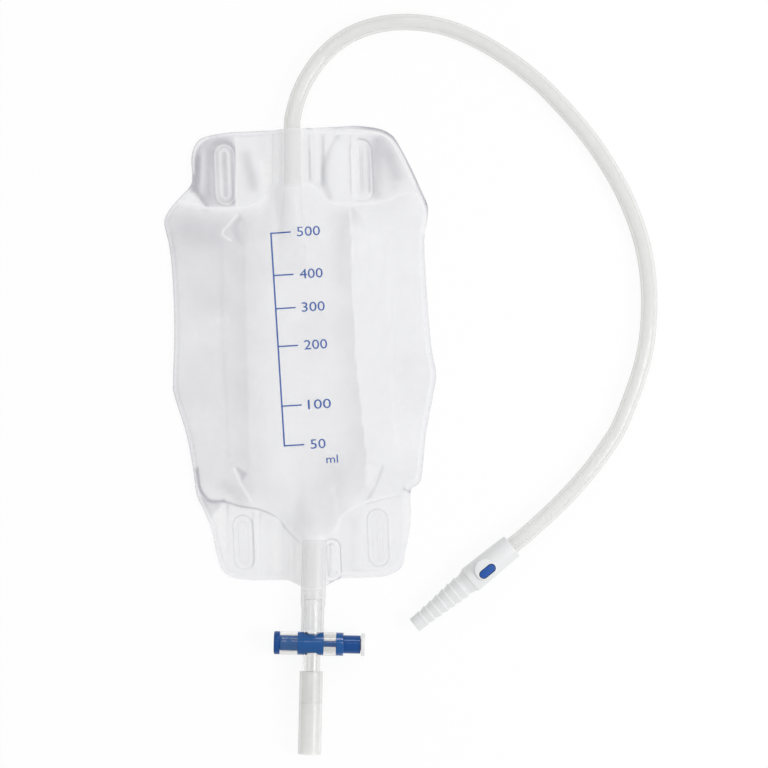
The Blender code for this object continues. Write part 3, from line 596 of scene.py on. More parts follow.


# Folds, welds and clouds of the front film: tone (-1 dark, 1 light), height, half width, points.
# Along the folds, under the seams and over the tube channels the tones are painted shade and
# painted highlights
filmStrokes = {
    "top left flange": (
        (-0.5, 0.0, 1.5, (-48, 99.5), (-49, 89)),
        (-0.4, 0.0, 3.5, (-48.5, 101), (-49.5, 86)),
        (-0.25, 0.0, 1.5, (-41.5, 104), (-43, 80.5)),
        (0.3, 0.15, 1.25, (-45, 102.5), (-46.5, 83.5)),
        (-0.3, 0.0, 1.3, (-39.5, 107), (-34.5, 108.5), (-30.5, 106), (-29.5, 100.5), (-30.5, 83),
         (-31.5, 77.5)),
        (-0.5, 0.0, 1.6, (-51.5, 86.5), (-48, 82), (-44.5, 75.5)),
        (0.5, 0.0, 0.75, (-50, 93.5), (-48.5, 104.5), (-42.5, 110.5)),
        (0.5, 0.2, 0.6, (-28, 109.5), (-29, 75)),
        (-0.4, 0.0, 3.0, (-23.5, 100.5), (-20.5, 85.5)),
        (0.7, 0.3, 2.0, (-16, 96), (-15, 87.5), (-15, 79), (-17.5, 76.5)),
        (0.35, 0.0, 1.5, (-12, 108.5), (-13, 87.5)),
    ),
    "inlet channel": (
        (-1.2, -0.15, 0.4, (-9.5, 110.5), (-11, 85.5)),
        (0.9, 0.0, 2.5, (-9, 111), (-10.5, 87)),
        (0.25, 0.0, 2.5, (7.5, 111), (7, 87)),
        (0.8, 0.2, 0.8, (-8, 109.5), (-9, 85.5)),
        (-0.4, 0.0, 0.5, (-5, 111), (-6, 84.5)),
        (-0.4, 0.0, 0.5, (4.5, 111.5), (3.5, 85)),
        (0.7, 0.0, 0.75, (5.5, 111), (4.5, 85.5)),
        (-0.5, 0.0, 0.9, (8.5, 112.5), (8, 100), (8, 86.5)),
        (-0.45, -0.1, 0.45, (8.5, 101.5), (8, 87.5)),
        (0.8, 0.3, 1.25, (12, 111), (11.5, 87.5)),
        (-0.4, 0.0, 1.0, (15.5, 108.5), (14, 84)),
    ),
    "top right flange": (
        (-0.4, 0.0, 1.8, (22.5, 108), (19, 102), (16, 95.5), (15, 89.5), (16, 82.5),
         (17.5, 77.5)),
        (0.4, 0.4, 4.0, (23, 101.5), (22, 81.5)),
        (-0.35, 0.0, 0.4, (29, 108.5), (28, 76)),
        (0.7, 0.2, 1.5, (31, 105), (29.5, 77)),
        (-0.35, 0.0, 0.9, (33.5, 106.5), (37, 105), (38, 101.5), (37.5, 82.5), (37.5, 80)),
        (-0.1, 0.0, 2.5, (34.5, 102), (33.5, 81)),
        (-0.4, 0.0, 2.9, (41.5, 104.5), (40.5, 78)),
        (-0.35, 0.0, 3.5, (45, 106), (52, 88)),
        (-0.25, 0.0, 6.0, (46, 97), (49.5, 84.5)),
        (-0.3, 0.0, 0.9, (20, 112.5), (41.5, 111), (48, 108.5), (53.5, 101.5), (57.5, 93.5),
         (61, 86.5), (64, 80), (65.5, 72)),
        (0.8, 0.2, 0.5, (22, 109.5), (39, 109), (45, 108), (50.5, 104), (54.5, 97), (58, 87.5),
         (60, 82.5)),
        (0.25, 0.0, 1.5, (29, 77.5), (38, 77.5)),
    ),
    "top seam": (
        (0.9, 0.25, 0.75, (-58, 78.5), (-49.5, 77), (-43, 75), (-29.5, 74.5), (-20, 76),
         (-16.5, 77.5), (-14, 79.5)),
        (0.9, 0.25, 0.75, (3.5, 85), (9, 83.5), (12.5, 80.5), (17, 75.5), (29, 74),
         (43.5, 74.5), (52.5, 77.5)),
        (1.0, 0.25, 0.6, (52.5, 77.5), (57.5, 78.5), (61.5, 76.5), (63.5, 72), (64.5, 66.5),
         (63.5, 58)),
    ),
    # Painted highlights along the fold edges and painted shade beside the folds
    "upper folds": (
        (0.8, 0.2, 0.5, (-29.5, 71), (-33.5, 66.5), (-37, 62), (-33, 58.5)),
        (-0.3, 0.0, 10.0, (-53, 66.5), (-42.5, 63)),
        (-0.11, 0.0, 14.0, (-51, 55), (-50, 32)),
        (-0.10, 0.0, 4.0, (24.5, 66), (21.5, 52), (23, 36)),
        (0.5, 0.1, 0.4, (28, 55), (27, 44)),
        (0.3, 0.0, 4.5, (35, 61.5), (37, 54.5)),
    ),
    # Painted shade along the left fold and painted light along the right one
    "long folds": (
        (-0.1, 0.0, 1.0, (-37.5, 54), (-39, 14), (-38.5, -48.5)),
        (0.3, 0.0, 1.25, (46.5, 55), (44, 10.5), (45, -45)),
    ),
    "bottom left flange": (
        (-1.0, -0.2, 0.85, (-55, -55), (-54, -64), (-50.5, -70), (-46.5, -71.5), (-42.5, -71.5)),
        (-0.8, -0.2, 0.6, (-42.5, -71.5), (-34, -74.5), (-26.5, -76), (-20, -78.5), (-15, -82),
         (-10.5, -88.5), (-4.5, -94.5)),
        (-0.4, 0.0, 0.9, (-40.5, -73.5), (-41.5, -97)),
        (-0.5, 0.0, 0.9, (-28, -78.5), (-29, -106)),
        (0.6, 0.2, 0.6, (-26, -77), (-26.5, -108)),
        (-0.5, 0.0, 0.35, (-24.5, -78.5), (-26, -108)),
        (-0.2, 0.0, 2.0, (-20.5, -82.5), (-21.5, -108)),
        (0.4, 0.2, 2.0, (-17, -82.5), (-17.5, -108)),
        (-0.35, 0.0, 0.35, (-13, -84), (-14, -109)),
        (-0.6, -0.15, 0.4, (-11, -95), (-11.5, -109)),
        (-0.8, -0.15, 0.4, (-8, -94.5), (-8.5, -109)),
        (0.6, 0.2, 1.25, (-6, -96), (-7, -110.5)),
        (-0.4, 0.0, 0.4, (-47, -86.5), (-45.5, -95.5), (-43, -103), (-39, -107), (-14, -109)),
        (0.6, 0.2, 0.65, (-36.5, -55.5), (-33.5, -63), (-28.5, -72)),
        (-0.25, 0.0, 3.5, (-41.5, -63.5), (-32.5, -72)),
        (-0.2, 0.0, 3.0, (-24, -80), (-14, -87)),
        (0.7, 0.0, 3.0, (-10.5, -95), (-9.5, -110)),
    ),
    "bottom right flange": (
        (-0.5, 0.0, 1.0, (38, -57.5), (34, -67), (30, -73.5)),
        (0.7, 0.2, 0.6, (13, -89), (15.5, -83), (19.5, -79.5), (28.5, -75), (39, -73),
         (44.5, -72)),
        (-0.5, 0.0, 0.4, (29, -76), (44.5, -72.5)),
        (-0.7, 0.0, 0.8, (10, -96), (9.5, -109.5)),
        (0.9, 0.0, 0.6, (12.5, -95), (12.5, -108.5)),
        (-0.4, 0.0, 4.0, (22.5, -84.5), (20.5, -106)),
        (0.5, 0.15, 2.0, (47.5, -75.5), (47, -94.5)),
        (-0.3, 0.0, 0.6, (45.5, -72), (46, -85.5), (44, -104)),
        (-0.25, 0.0, 9.0, (15, -60), (8, -84)),
        (-0.4, 0.0, 0.5, (49.5, -96), (47.5, -104), (44, -109.5)),
        (-0.4, 0.0, 0.4, (20, -109), (37.5, -110), (42.5, -108.5)),
        (-0.8, 0.0, 0.8, (6.5, -116.5), (12.5, -113.5)),
        (-0.8, 0.0, 0.6, (48, -69.5), (51, -71)),
    ),
}
# Facets of the corner folds, each lifted a little, the dark ones painted shade and the light ones
# painted light: tone, soft edge, corners
paintedFoldFacets = {
    "dark corner of the top left flange": (-0.48, 2.5, (-48.5, 107), (-43.5, 110), (-30.5, 109.5),
     (-28.5, 106), (-30, 75.5), (-44, 75), (-48, 80.5), (-50, 89)),
    "inside of the top left oval": (0.12, 0.5, (-38, 105), (-31.5, 105), (-32.5, 80),
     (-38.5, 80)),
    "lifted corner beside it": (0.45, 0.5, (-52, 83.5), (-58, 78.5), (-44.5, 75), (-48, 80)),
    "light wedge by the channel": (0.4, 0.75, (16.5, 109), (21, 109), (16, 99.5)),
    "upper left fold": (-0.28, 0.5, (-28, 72), (-27, 69), (-29, 66), (-32.5, 64.5),
     (-30, 68)),
    "upper left fold's lower side": (-0.2, 0.5, (-32.5, 64.5), (-29, 66), (-28.5, 62),
     (-27, 56.5), (-30, 58), (-31.5, 62)),
    "upper right fold": (-0.3, 0.6, (28, 72.5), (37, 63.5), (34.5, 60.5), (27.5, 63.5)),
    "lower left light wedge": (0.5, 0.5, (-47.5, -77.5), (-42, -73.5), (-42.5, -97.5),
     (-45.5, -93)),
    "lower left dark wedge": (-0.4, 0.6, (-54, -68.5), (-52, -74), (-49, -79.5), (-43, -73),
     (-49, -71.5)),
    "lower left fold": (-0.5, 0.4, (-35.5, -54.5), (-29.5, -58), (-32.5, -61.5)),
    "lower right fold": (0.45, 0.4, (29, -56.5), (36.5, -58.5), (29, -68)),
}


def featureLines():
    # Each weld, bead, fold and cloud: points, half width, height and tone, much of the tone painted
    # shade and highlights
    lines = []
    rim = offsetLine(ringOf(outlinePoints(1.2)), bag["rimLine"])
    # The weld line inside the rim: raised and lighter on the right, flat and darker on the left,
    # painted light and shade as the light falls from the right
    lines.append((rim[rim[:, 0] > 0.0], 0.55, 0.16, 0.55))
    lines.append((rim[rim[:, 0] <= 0.0], 0.4, 0.0, -0.25))
    for (x, y), oval, tones in zip(bag["slots"], bag["ovals"], bag["slotTones"]):
        outer, inner, around, slit = tones
        lines.append((ovalLine(x, y, oval[0], oval[1], 0.8), 0.45, 0.25, outer))
        lines.append((ovalLine(x, y, oval[0] + 0.9, oval[1] + 0.8, 0.8), 0.7, 0.0, around))
        lines.append((ovalLine(x, y, oval[2], oval[3], 0.8), 0.4, 0.12, inner))
        reach = bag["slit"][1] / 2
        lines.append((np.array([(x, y + reach), (x, y), (x, y - reach)]), 0.4, 0.0, slit))
    ring = bag["ring"]
    for inset, half, height, light in bag["ringLines"]:
        oval = ovalLine(*ring[:2], ring[2] - inset, ring[3] - inset, 0.7)
        lines.append((oval, half, height, light))
    for group in filmStrokes.values():
        for tone, height, half, *points in group:
            lines.append((smoothLine(points, 0.8), half, height, tone))
    return lines


def foldLines():
    # The two near folds, then the two far ones
    ys = np.arange(-60.0, 72.0, 1.0)
    return [np.stack([course(side, ys), ys], axis=1)
            for course in (nearX, farX) for side in (-1, 1)]


def makeSheetPlan(spacing, lines, folds, detail):
    # Points of the sheet: outline and slits first, then lines, then an even fill
    outline = outlinePoints(1.0 if detail else 1.6)
    halfWide, halfLong = bag["slit"][0] / 2, bag["slit"][1] / 2
    slits = []
    for x, y in bag["slots"]:
        up = [(x + halfWide, y - halfLong + k * 2 * halfLong / 16) for k in range(17)]
        down = [(x - halfWide, y + halfLong - k * 2 * halfLong / 16) for k in range(17)]
        slits.append(np.array(up + down))
    kept, cells = [], {}

    def offer(points, least):
        # Keeps each point that has no kept one nearer than this, in cells of 1 mm
        for p in points:
            column, row = int(p[0] // 1.0), int(p[1] // 1.0)
            around = [q for i in (-1, 0, 1) for j in (-1, 0, 1)
                      for q in cells.get((column + i, row + j), ())]
            if all((q[0] - p[0]) ** 2 + (q[1] - p[1]) ** 2 >= least * least for q in around):
                cells.setdefault((column, row), []).append(p)
                kept.append(p)

    edges = []
    for ring in [outline, *slits]:
        first = len(kept)
        offer(ring, 0.0)
        count = len(kept) - first
        edges += [(first + k, first + (k + 1) % count) for k in range(count)]

    def offerBeside(line, sides, least):
        for side in sides:
            moved = offsetLine(line, side) if side else line
            offer(moved[insideOf(moved, outline)], least)

    if detail:
        offerBeside(ringOf(outline), (0.4, 0.85), 0.3)
        for line, half, *_ in lines:
            if half <= sheet["beadHalf"] and len(line) > 2:
                offerBeside(line, [share * half for share in sheet["beadRows"]], 0.22)
        for line in folds:
            offerBeside(line, sheet["foldRows"], 0.45)
    xs = np.arange(*sheet["fillX"], spacing)
    ys = np.arange(*sheet["fillY"], spacing * sheet["rowShare"])
    gx, gy = np.meshgrid(xs, ys)
    gx[1::2] += spacing / 2
    fill = np.stack([gx.ravel(), gy.ravel()], axis=1)
    fill = fill[insideOf(fill, outline)]
    fill = fill[distanceTo(fill, ringOf(outline)) > 0.5]
    offer(fill, 0.55 * spacing if spacing < 1.8 else 0.9)
    flat = np.array(kept)
    made = geometry.delaunay_2d_cdt([Vector(p) for p in flat], edges, [], 0, 1e-4)
    points = np.array([tuple(v) for v in made[0]])
    triangles = np.array(made[2])
    middle = points[triangles].mean(axis=1)
    keep = insideOf(middle, outline)
    for ring in slits:
        keep &= ~insideOf(middle, ring)
    return points, triangles[keep]


def shellMesh(name, points, triangles, lower, upper, tone):
    # A closed film: the same triangles above and below, joined round every free edge, with tones
    count = len(points)
    top = np.column_stack([points, upper]) * mm
    low = np.column_stack([points, lower]) * mm
    a, b, c = (points[triangles[:, k]] for k in range(3))
    area = (b[:, 0] - a[:, 0]) * (c[:, 1] - a[:, 1]) - (b[:, 1] - a[:, 1]) * (c[:, 0] - a[:, 0])
    triangles = np.where(area[:, None] > 0, triangles, triangles[:, ::-1])
    faces = [tuple(t) for t in triangles.tolist()]
    faces += [tuple(v + count for v in t[::-1]) for t in triangles.tolist()]
    sides = np.vstack([triangles[:, (0, 1)], triangles[:, (1, 2)], triangles[:, (2, 0)]])
    there = {tuple(e) for e in sides.tolist()}
    faces += [(j, i, i + count, j + count) for i, j in there if (j, i) not in there]
    mesh = bpy.data.meshes.new(name)
    mesh.from_pydata(np.vstack([top, low]).tolist(), [], faces)
    layer = mesh.attributes.new("tone", "FLOAT", "POINT")
    layer.data.foreach_set("value", np.concatenate([tone, tone]).astype(np.float32))
    bm = bmesh.new()
    bm.from_mesh(mesh)
    bmesh.ops.delete(bm, geom=[v for v in bm.verts if not v.link_faces], context="VERTS")
    bm.to_mesh(mesh)
    bm.free()
    return mesh


def ridge(distance, half):
    return np.exp(-(distance / half) ** 2)


def band(distance, tone, half, base=0.0):
    # A soft band of tone along a line
    return tone * ridge(distance, half) + base


filmLook = {
    "clear": colour(0.90, 0.90, 0.925),
    # dark and light colours for the tone mark: weld lines, and painted shade and painted highlights
    "dark": colour(0.30, 0.295, 0.36),
    "light": colour(0.96, 0.955, 0.96),
    "alpha": 0.25,
    "darker": 0.10,
    "lighter": -0.11,
    "rough": 0.30,
    "hazeSize": 16.0,
    "hazeShare": 0.06,
    "grainSize": 0.55,
    "grainShare": 0.15,
}


def filmPaint(name):
    paint = Paint(name)
    tone = paint.mark("tone")
    haze = paint.cloud(filmLook["hazeSize"], 3.0)
    grain = paint.cloud(filmLook["grainSize"], 2.0, 0.6)
    # The tone mark mixes in the dark and light colours and changes the cover: weld lines, and
    # painted shade and painted highlights of the folds, panels and beads
    dark = paint.math("MAXIMUM", tone * -1.0, 0.0)
    light = paint.math("MAXIMUM", tone, 0.0)
    base = paint.mix(dark, filmLook["clear"], filmLook["dark"])
    base = paint.mix(light, base, filmLook["light"])
    cover = filmLook["alpha"] + (haze - 0.5) * filmLook["hazeShare"]
    cover = cover + dark * filmLook["darker"] + light * filmLook["lighter"]
    rough = filmLook["rough"] + (grain - 0.5) * filmLook["grainShare"]
    return paint.coat(Base_Color=base, Roughness=rough, Alpha=cover,
                      Normal=paint.bump(grain, 0.2, 0.02), IOR=1.45)


def smallWaves(points, size, seed):
    return np.array([noise.fractal(Vector((x / size, y / size, seed)), 1.0, 2.0, 3)
                     for x, y in points])


def facetShare(points, corners, soft):
    # 1 inside a facet of a fold, 0 outside, with a soft edge
    ring = np.array(corners, float)
    away = distanceTo(points, ringOf(ring), 3.0 * soft + 1.0)
    signed = np.where(insideOf(points, ring), away, -away)
    return step(-soft, soft, np.clip(signed, -2.0 * soft, 2.0 * soft))


sheet = {
    "spacing": 1.15, "backSpacing": 2.4, "flat": (0.1325, 0.2305),
    "fillX": (-68.0, 68.0), "fillY": (-119.0, 114.0), "rowShare": 0.866,
    # rows of points beside a bead, in shares of its half width, and beside a fold, in mm
    "beadRows": (0.0, 0.5, -0.5, 1.0, -1.0, 1.5, -1.5), "foldRows": (0.0, 0.7, -0.7),
    "beadHalf": 1.3,                # wider lines are soft swells, narrower ones are embossed
    "deepest": -0.2, "foldBead": (0.18, 0.9), "facetLift": 0.25,
    # size and height of the film's waves, and how far in from the rim they start
    "waves": ((18.0, 3.3, 0.6), (8.0, 8.1, 0.15)), "waveStart": (2.5, 10.0),
    # bands of tone: tone, half width and base; by the rim, beside the folds and over the tubes they
    # are painted shade and painted light
    "edgeShade": (-0.8, 0.35), "rightEdge": 0.6, "shoulderShade": (-0.75, 1.5),
    "clouds": (22.0, 5.7, 0.10),
    "leftPanelShade": (-0.14, 7.0, -0.16), "leftFoldShade": (-0.22, 9.0),
    "rightFoldShade": (-0.17, 9.0), "rightPanelLight": (0.24, 16.0, -0.06),
    "bottomFlange": (0.42, 0.34), "lightOverInlet": 0.9, "lightOverOutlet": 0.5,
}


def sheetTone(points, rim):
    # Broad tones: painted shade along the rim, random clouds, painted shade and light on the panels
    # beside the folds, a lighter bottom flange, and painted light over the tubes in the flanges
    x, y = points[:, 0], points[:, 1]
    # Painted shade along the rim, weaker on the right, and on the top right corner
    tone = band(rim, *sheet["edgeShade"]) * np.where(x < 10.0, 1.0, sheet["rightEdge"])
    tone += band(rim, *sheet["shoulderShade"]) * step(26.0, 40.0, x) * step(60.0, 74.0, y)
    size, seed, share = sheet["clouds"]
    tone += np.clip(smallWaves(points, size, seed), -1.0, 1.0) * share
    # Panels beside the folds: painted shade on the left, painted light on the right
    panel = step(topSeam(x), topSeam(x) - 8.0, y) * step(bottomSeam(x), bottomSeam(x) + 8.0, y)
    past = x - nearX(-1, y)
    tone += panel * np.where(past < 0.0, band(past, *sheet["leftPanelShade"]),
                             band(past, *sheet["leftFoldShade"]))
    past = x - nearX(1, y)
    tone += panel * np.where(past < 0.0, band(past, *sheet["rightFoldShade"]),
                             band(past, *sheet["rightPanelLight"]))
    flange = step(-70.0, -86.0, y) * step(bottomSeam(x) + 1.5, bottomSeam(x) - 1.5, y)
    tone += np.where(x < outletX(y), *sheet["bottomFlange"]) * flange
    # Painted light over the tubes in the flanges, against the shade there
    tone += sheet["lightOverInlet"] * step(6.0, 3.5, np.abs(x - inletX(y))) * step(81.0, 86.0, y)
    low = step(outletEndY + 3.0, outletEndY - 2.0, y)
    return tone + sheet["lightOverOutlet"] * step(8.0, 5.5, np.abs(x - outletX(y))) * low


def makeFront(lines, folds):
    points, triangles = makeSheetPlan(sheet["spacing"], lines, folds, True)
    x, y = points[:, 0], points[:, 1]
    rim = distanceTo(points, ringOf(outlinePoints(1.2)), 12.0)
    under = frontBase(x, y)
    emboss = np.zeros(len(points))
    tone = sheetTone(points, rim)
    for line, half, height, light in lines:
        shape = ridge(distanceTo(points, line, 2.5 * half), half)
        tone += light * shape
        if half <= sheet["beadHalf"]:
            emboss = np.where(np.abs(height * shape) > np.abs(emboss), height * shape, emboss)
        else:
            under = under + height * shape
    # Painted shade and light of the fold facets
    for light, soft, *corners in paintedFoldFacets.values():
        share = facetShare(points, corners, soft)
        tone += light * share
        under = under + sheet["facetLift"] * share
    for line in folds[:2]:
        under = under + band(distanceTo(points, line, 3.0), *sheet["foldBead"])
    waves = sum(np.abs(smallWaves(points, size, seed)) * height
                for size, seed, height in sheet["waves"])
    inside = (y > bottomSeam(x)) & (y < topSeam(x))
    under = under + waves * step(*sheet["waveStart"], rim) * np.where(inside, 1.0, 0.5)
    upper = under + bag["film"] + np.maximum(emboss, sheet["deepest"])
    return shellMesh("bagFrontFilm", points, triangles, under, upper, np.clip(tone, -1.0, 1.0))


def makeFilms():
    lines = featureLines()
    folds = foldLines()
    mesh = makeFront(lines, folds)
    paint = filmPaint("frontVinyl")
    front = addPiece("bagFrontFilm", mesh, paint, "bag_front_film", 60.0)
    print("front film:", len(mesh.vertices), "points")
    points, triangles = makeSheetPlan(sheet["backSpacing"], lines, folds, False)
    lift = tableLift(points[:, 0], points[:, 1])
    mesh = shellMesh("bagBackFilm", points, triangles, lift, lift + bag["film"],
                     np.zeros(len(points)))
    paint = filmPaint("backVinyl")
    back = addPiece("bagBackFilm", mesh, paint, "bag_back_film", 60.0)
    x, y = outlinePoints(1.0).T
    return front


# ---- printed volume scale ----
ink = {
    "colour": (0.035, 0.095, 0.33), "lift": 0.03, "thick": 0.04, "lean": 1.0,
    "spots": 1.3, "line": ((-12.7, 61.0), (-10.7, -45.2)), "width": 0.75, "tick": 9.9,
    "tickShare": 0.9,
    "marks": ((61.0, "500"), (39.9, "400"), (23.3, "300"), (4.4, "200"), (-25.4, "100"),
              (-45.2, "50")),
    "labelGap": 3.1, "height": 4.75, "pitch": 3.95,
    "unit": "ml", "unitPlace": (9.9, -54.8), "unitHeight": 4.0, "unitWidth": 5.8,
}


def makeScale(film):
    tree = BVHTree.FromPolygons([v.co for v in film.data.vertices],
                                [p.vertices for p in film.data.polygons])
    lean = math.radians(ink["lean"])
    along = Vector((math.cos(lean), math.sin(lean)))
    verts, faces = [], []

    def filmTop(x, y):
        hit = tree.ray_cast(Vector((x * mm, y * mm, 0.1)), Vector((0, 0, -1)))[0]
        return hit.z / mm + ink["lift"]

    def strip(start, end, width):
        start, end = Vector(start), Vector(end)
        way = (end - start).normalized()
        side = Vector((-way.y, way.x)) * width / 2
        count = max(2, int((end - start).length / 0.9))
        first = len(verts)
        for k in range(count + 1):
            p = start.lerp(end, k / count)
            for q in (p - side, p + side):
                top = filmTop(q.x, q.y)
                verts.extend([(q.x * mm, q.y * mm, z * mm) for z in (top + ink["thick"], top)])
        for k in range(count):
            a = first + 4 * k
            b = a + 4
            faces.extend([(a, b, b + 2, a + 2), (a + 1, a + 3, b + 3, b + 1), (a, a + 1, b + 1, b),
                          (a + 2, b + 2, b + 3, a + 3)])
        last = first + 4 * count
        faces.extend([(first, first + 2, first + 3, first + 1),
                      (last, last + 1, last + 3, last + 2)])

    def label(words, place, height, width):
        curve = bpy.data.curves.new("label", "FONT")
        curve.body = words
        curve.extrude = 0.5
        curve.resolution_u = 3
        thing = bpy.data.objects.new("label", curve)
        bpy.context.collection.objects.link(thing)
        bpy.context.view_layer.update()
        mesh = evaluatedMesh(thing)
        bpy.data.objects.remove(thing)
        flat = np.array([v.co for v in mesh.vertices])
        low, high = flat.min(axis=0), flat.max(axis=0)
        first = len(verts)
        for p in flat:
            u = (p[0] - low[0]) / (high[0] - low[0]) * width
            v = (p[1] - low[1]) / (high[1] - low[1]) * height
            x = place[0] + u * along.x - v * along.y
            y = place[1] + u * along.y + v * along.x
            z = filmTop(x, y) + (ink["thick"] if p[2] > 0 else 0.0)
            verts.append((x * mm, y * mm, z * mm))
        for polygon in mesh.polygons:
            faces.append([first + i for i in polygon.vertices])

    top, bottom = (Vector(p) for p in ink["line"])
    past = (top - bottom).normalized() * ink["width"] / 2
    strip(top + past, bottom - past, ink["width"])
    for y, words in ink["marks"]:
        start = top.lerp(bottom, (top.y - y) / (top.y - bottom.y))
        end = start + along * ink["tick"]
        strip(start + along * ink["width"] / 2, end, ink["width"] * ink["tickShare"])
        foot = end + along * ink["labelGap"] - Vector((-along.y, along.x)) * ink["height"] / 2
        width = ink["pitch"] * len(words) - 0.35
        label(words, (foot.x, foot.y), ink["height"], width)
    label(ink["unit"], ink["unitPlace"], ink["unitHeight"], ink["unitWidth"])
    mesh = bpy.data.meshes.new("printedScale")
    mesh.from_pydata(verts, [], faces)
    paint = Paint("scaleInk")
    grain = paint.cloud(0.6, 2.0)
    light = colour(*(ink["spots"] * c for c in ink["colour"]))
    paint.coat(Base_Color=paint.mix(grain, colour(*ink["colour"]), light),
               Roughness=0.45 + (grain - 0.5) * 0.1)
    mesh.materials.append(paint.material)
    scale = bpy.data.objects.new("printedScale", mesh)
    bpy.context.collection.objects.link(scale)
    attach(scale, "bag")
    print("scale printed")


# ---- inlet tube, a free cord ----
tubeRoute = (
    (1.2, 120.0), (6.1, 133.2), (16.0, 147.2), (29.5, 157.5), (45.8, 162.7),
    (62.9, 163.1), (79.4, 159.6), (94.3, 152.8), (107.5, 144.3), (118.8, 135.1),
    (128.4, 125.8), (144.0, 107.1), (156.4, 88.1), (166.2, 67.5), (172.7, 44.6),
    (174.4, 18.9), (170.3, -9.3), (158.5, -39.3), (149.1, -54.0), (137.1, -68.3),
    (122.5, -82.3),
)
connector = {
    "rear": (100.5, -99.95), "turn": 36.6, "z": 7.0, "straight": 9.5, "length": 62.7, "body": 27.0,
    "frontRadius": 6.85, "rearRadius": 6.25, "socket": 12.0, "flow": 2.4,
    "tipRadius": 3.95, "collar": 5.6, "barbs": 7, "pitch": 4.05, "firstPeak": 4.25, "lastPeak": 6.0,
    "depth": 0.7, "barbBack": 0.6, "step": 0.5, "cone": 3.6,
    "portBack": 17.8, "portRadius": 5.5, "portRise": 0.9, "portRoll": 5.9, "septum": (8.8, 3.9),
    "septumShift": (0.3, -1.0), "proud": 0.3, "septumDepth": 1.9, "septumEdge": 0.4,
    "white": (0.775, 0.78, 0.785), "blue": (0.004, 0.075, 0.36),
}


def connectorPoint(back):
    turn = math.radians(connector["turn"])
    x, y = connector["rear"]
    return (x + back * math.cos(turn), y + back * math.sin(turn), connector["z"])


def tubeLine(spacing):
    # From inside the flange down to the table, round the free route, and up into the socket
    route = [(float(inletX(y)), y, sleeveAxisZ)
             for y in (inlet["endY"], (inlet["endY"] + bagTop) / 2, bagTop)]
    restZ = inlet["radius"] + 0.1
    for number, (x, y) in enumerate(tubeRoute):
        down = float(step(-1.0, 3.0, number))
        up = float(step(len(tubeRoute) - 4.0, len(tubeRoute) + 1.0, number))
        z = sleeveAxisZ + (restZ - sleeveAxisZ) * down + (connector["z"] - restZ) * up
        route.append((x, y, z))
    stop = bag["gap"] - connector["socket"]
    route += [connectorPoint(back) for back in (connector["straight"], 0.0, stop)]
    return smoothLine(route, spacing)


def sweep(line, radii, sides=40):
    # A tube along a line, from its outer and inner radius; the outer skin's points are marked
    bm = bmesh.new()
    ahead = np.gradient(line, axis=0)
    ahead /= np.linalg.norm(ahead, axis=1)[:, None]
    up = np.array([0.0, 0.0, 1.0])
    outer = bm.verts.layers.float.new("outer")
    skins = []
    for radius in radii:
        loops = []
        for place, way in zip(line, ahead):
            side = np.cross(way, up)
            side /= np.linalg.norm(side)
            over = np.cross(side, way)
            turns = [2 * math.pi * k / sides for k in range(sides)]
            spokes = [math.cos(a) * side + math.sin(a) * over for a in turns]
            loops.append([bm.verts.new((place + radius * spoke) * mm) for spoke in spokes])
            for v in loops[-1]:
                v[outer] = float(radius == radii[0])
        skins.append(loops)
    for loops in skins:
        for first, second in zip(loops, loops[1:]):
            bridge(bm, first, second)
    for end in (0, -1):
        bridge(bm, skins[0][end], skins[1][end])
    return bm


inletLook = {
    "tone": (0.86, 0.86, 0.845), "alpha": 0.35, "edge": 0.3, "rough": 0.12, "shine": 0.7,
    "bore": inlet["bore"] / inlet["radius"], "less": 0.5,
    # axis, start and end of each stretch where the tube is clearer, painted lighter against the
    # films' shade, in mm
    "clearer": (((1, bagTop + 0.5, bagTop - 1.5), (0, 22.0, 16.0)),
                ((1, inlet["endY"] + 5.0, inlet["endY"]), (0, 22.0, 16.0))),
}


def tubePaint(name, look):
    # Clear soft vinyl: fuller where the wall is seen from the side, with a painted dark outline at
    # the silhouette, and clearer and so lighter along the listed stretches, painted light against
    # the shade of the films and stubs there and near its inner ends
    paint = Paint(name)
    soft = paint.cloud(9.0, 3.0)
    grain = paint.cloud(0.5, 2.0)
    facing = paint.node("ShaderNodeLayerWeight", None, {"Blend": 0.5}, out=1)
    bore = 1.0 - math.sqrt(1.0 - look["bore"] ** 2)
    wall = paint.ramp(facing, bore - 0.05, bore + 0.07) * paint.mark("outer")
    # The outline darkens towards the silhouette: a painted dark edge
    edge = paint.ramp(facing, 0.6, 1.0)
    tone = look["tone"]
    base = paint.mix(soft, colour(*(t * 0.98 for t in tone)),
                     colour(*(min(1.0, t * 1.03) for t in tone)))
    base = paint.mix(edge, base, colour(*(t * 0.5 for t in tone)))
    cover = look["alpha"] + (soft - 0.5) * 0.05
    cover = cover + wall * look["alpha"] * (1.0 - look["alpha"]) + edge * look["edge"]
    # Clearer stretches let more white through: painted light where films and stubs would shade the
    # tube
    for spans in look["clearer"]:
        share = 1.0
        for axis, start, end in spans:
            share = paint.ramp(paint.axis(axis), start * mm, end * mm) * share
        cover = cover * (1.0 - share * look["less"])
    return paint.coat(Base_Color=base, Roughness=look["rough"] + (grain - 0.5) * 0.06, Alpha=cover,
                      Normal=paint.bump(grain, 0.08, 0.02), IOR=1.45,
                      Specular_IOR_Level=look["shine"])


def makeTube():
    line = tubeLine(1.6)
    mesh = meshOf("inletTube", sweep(line, (inlet["radius"], inlet["bore"])))
    paint = tubePaint("frostedTube", inletLook)
    return addPiece("inletTube", mesh, paint, "inlet_tube", 50.0), line


# ---- barbed connector with its sampling port ----
def connectorMatrix():
    x, y = connector["rear"]
    return (Matrix.Translation((x * mm, y * mm, connector["z"] * mm))
            @ Matrix.Rotation(math.radians(connector["turn"]), 4, "Z"))


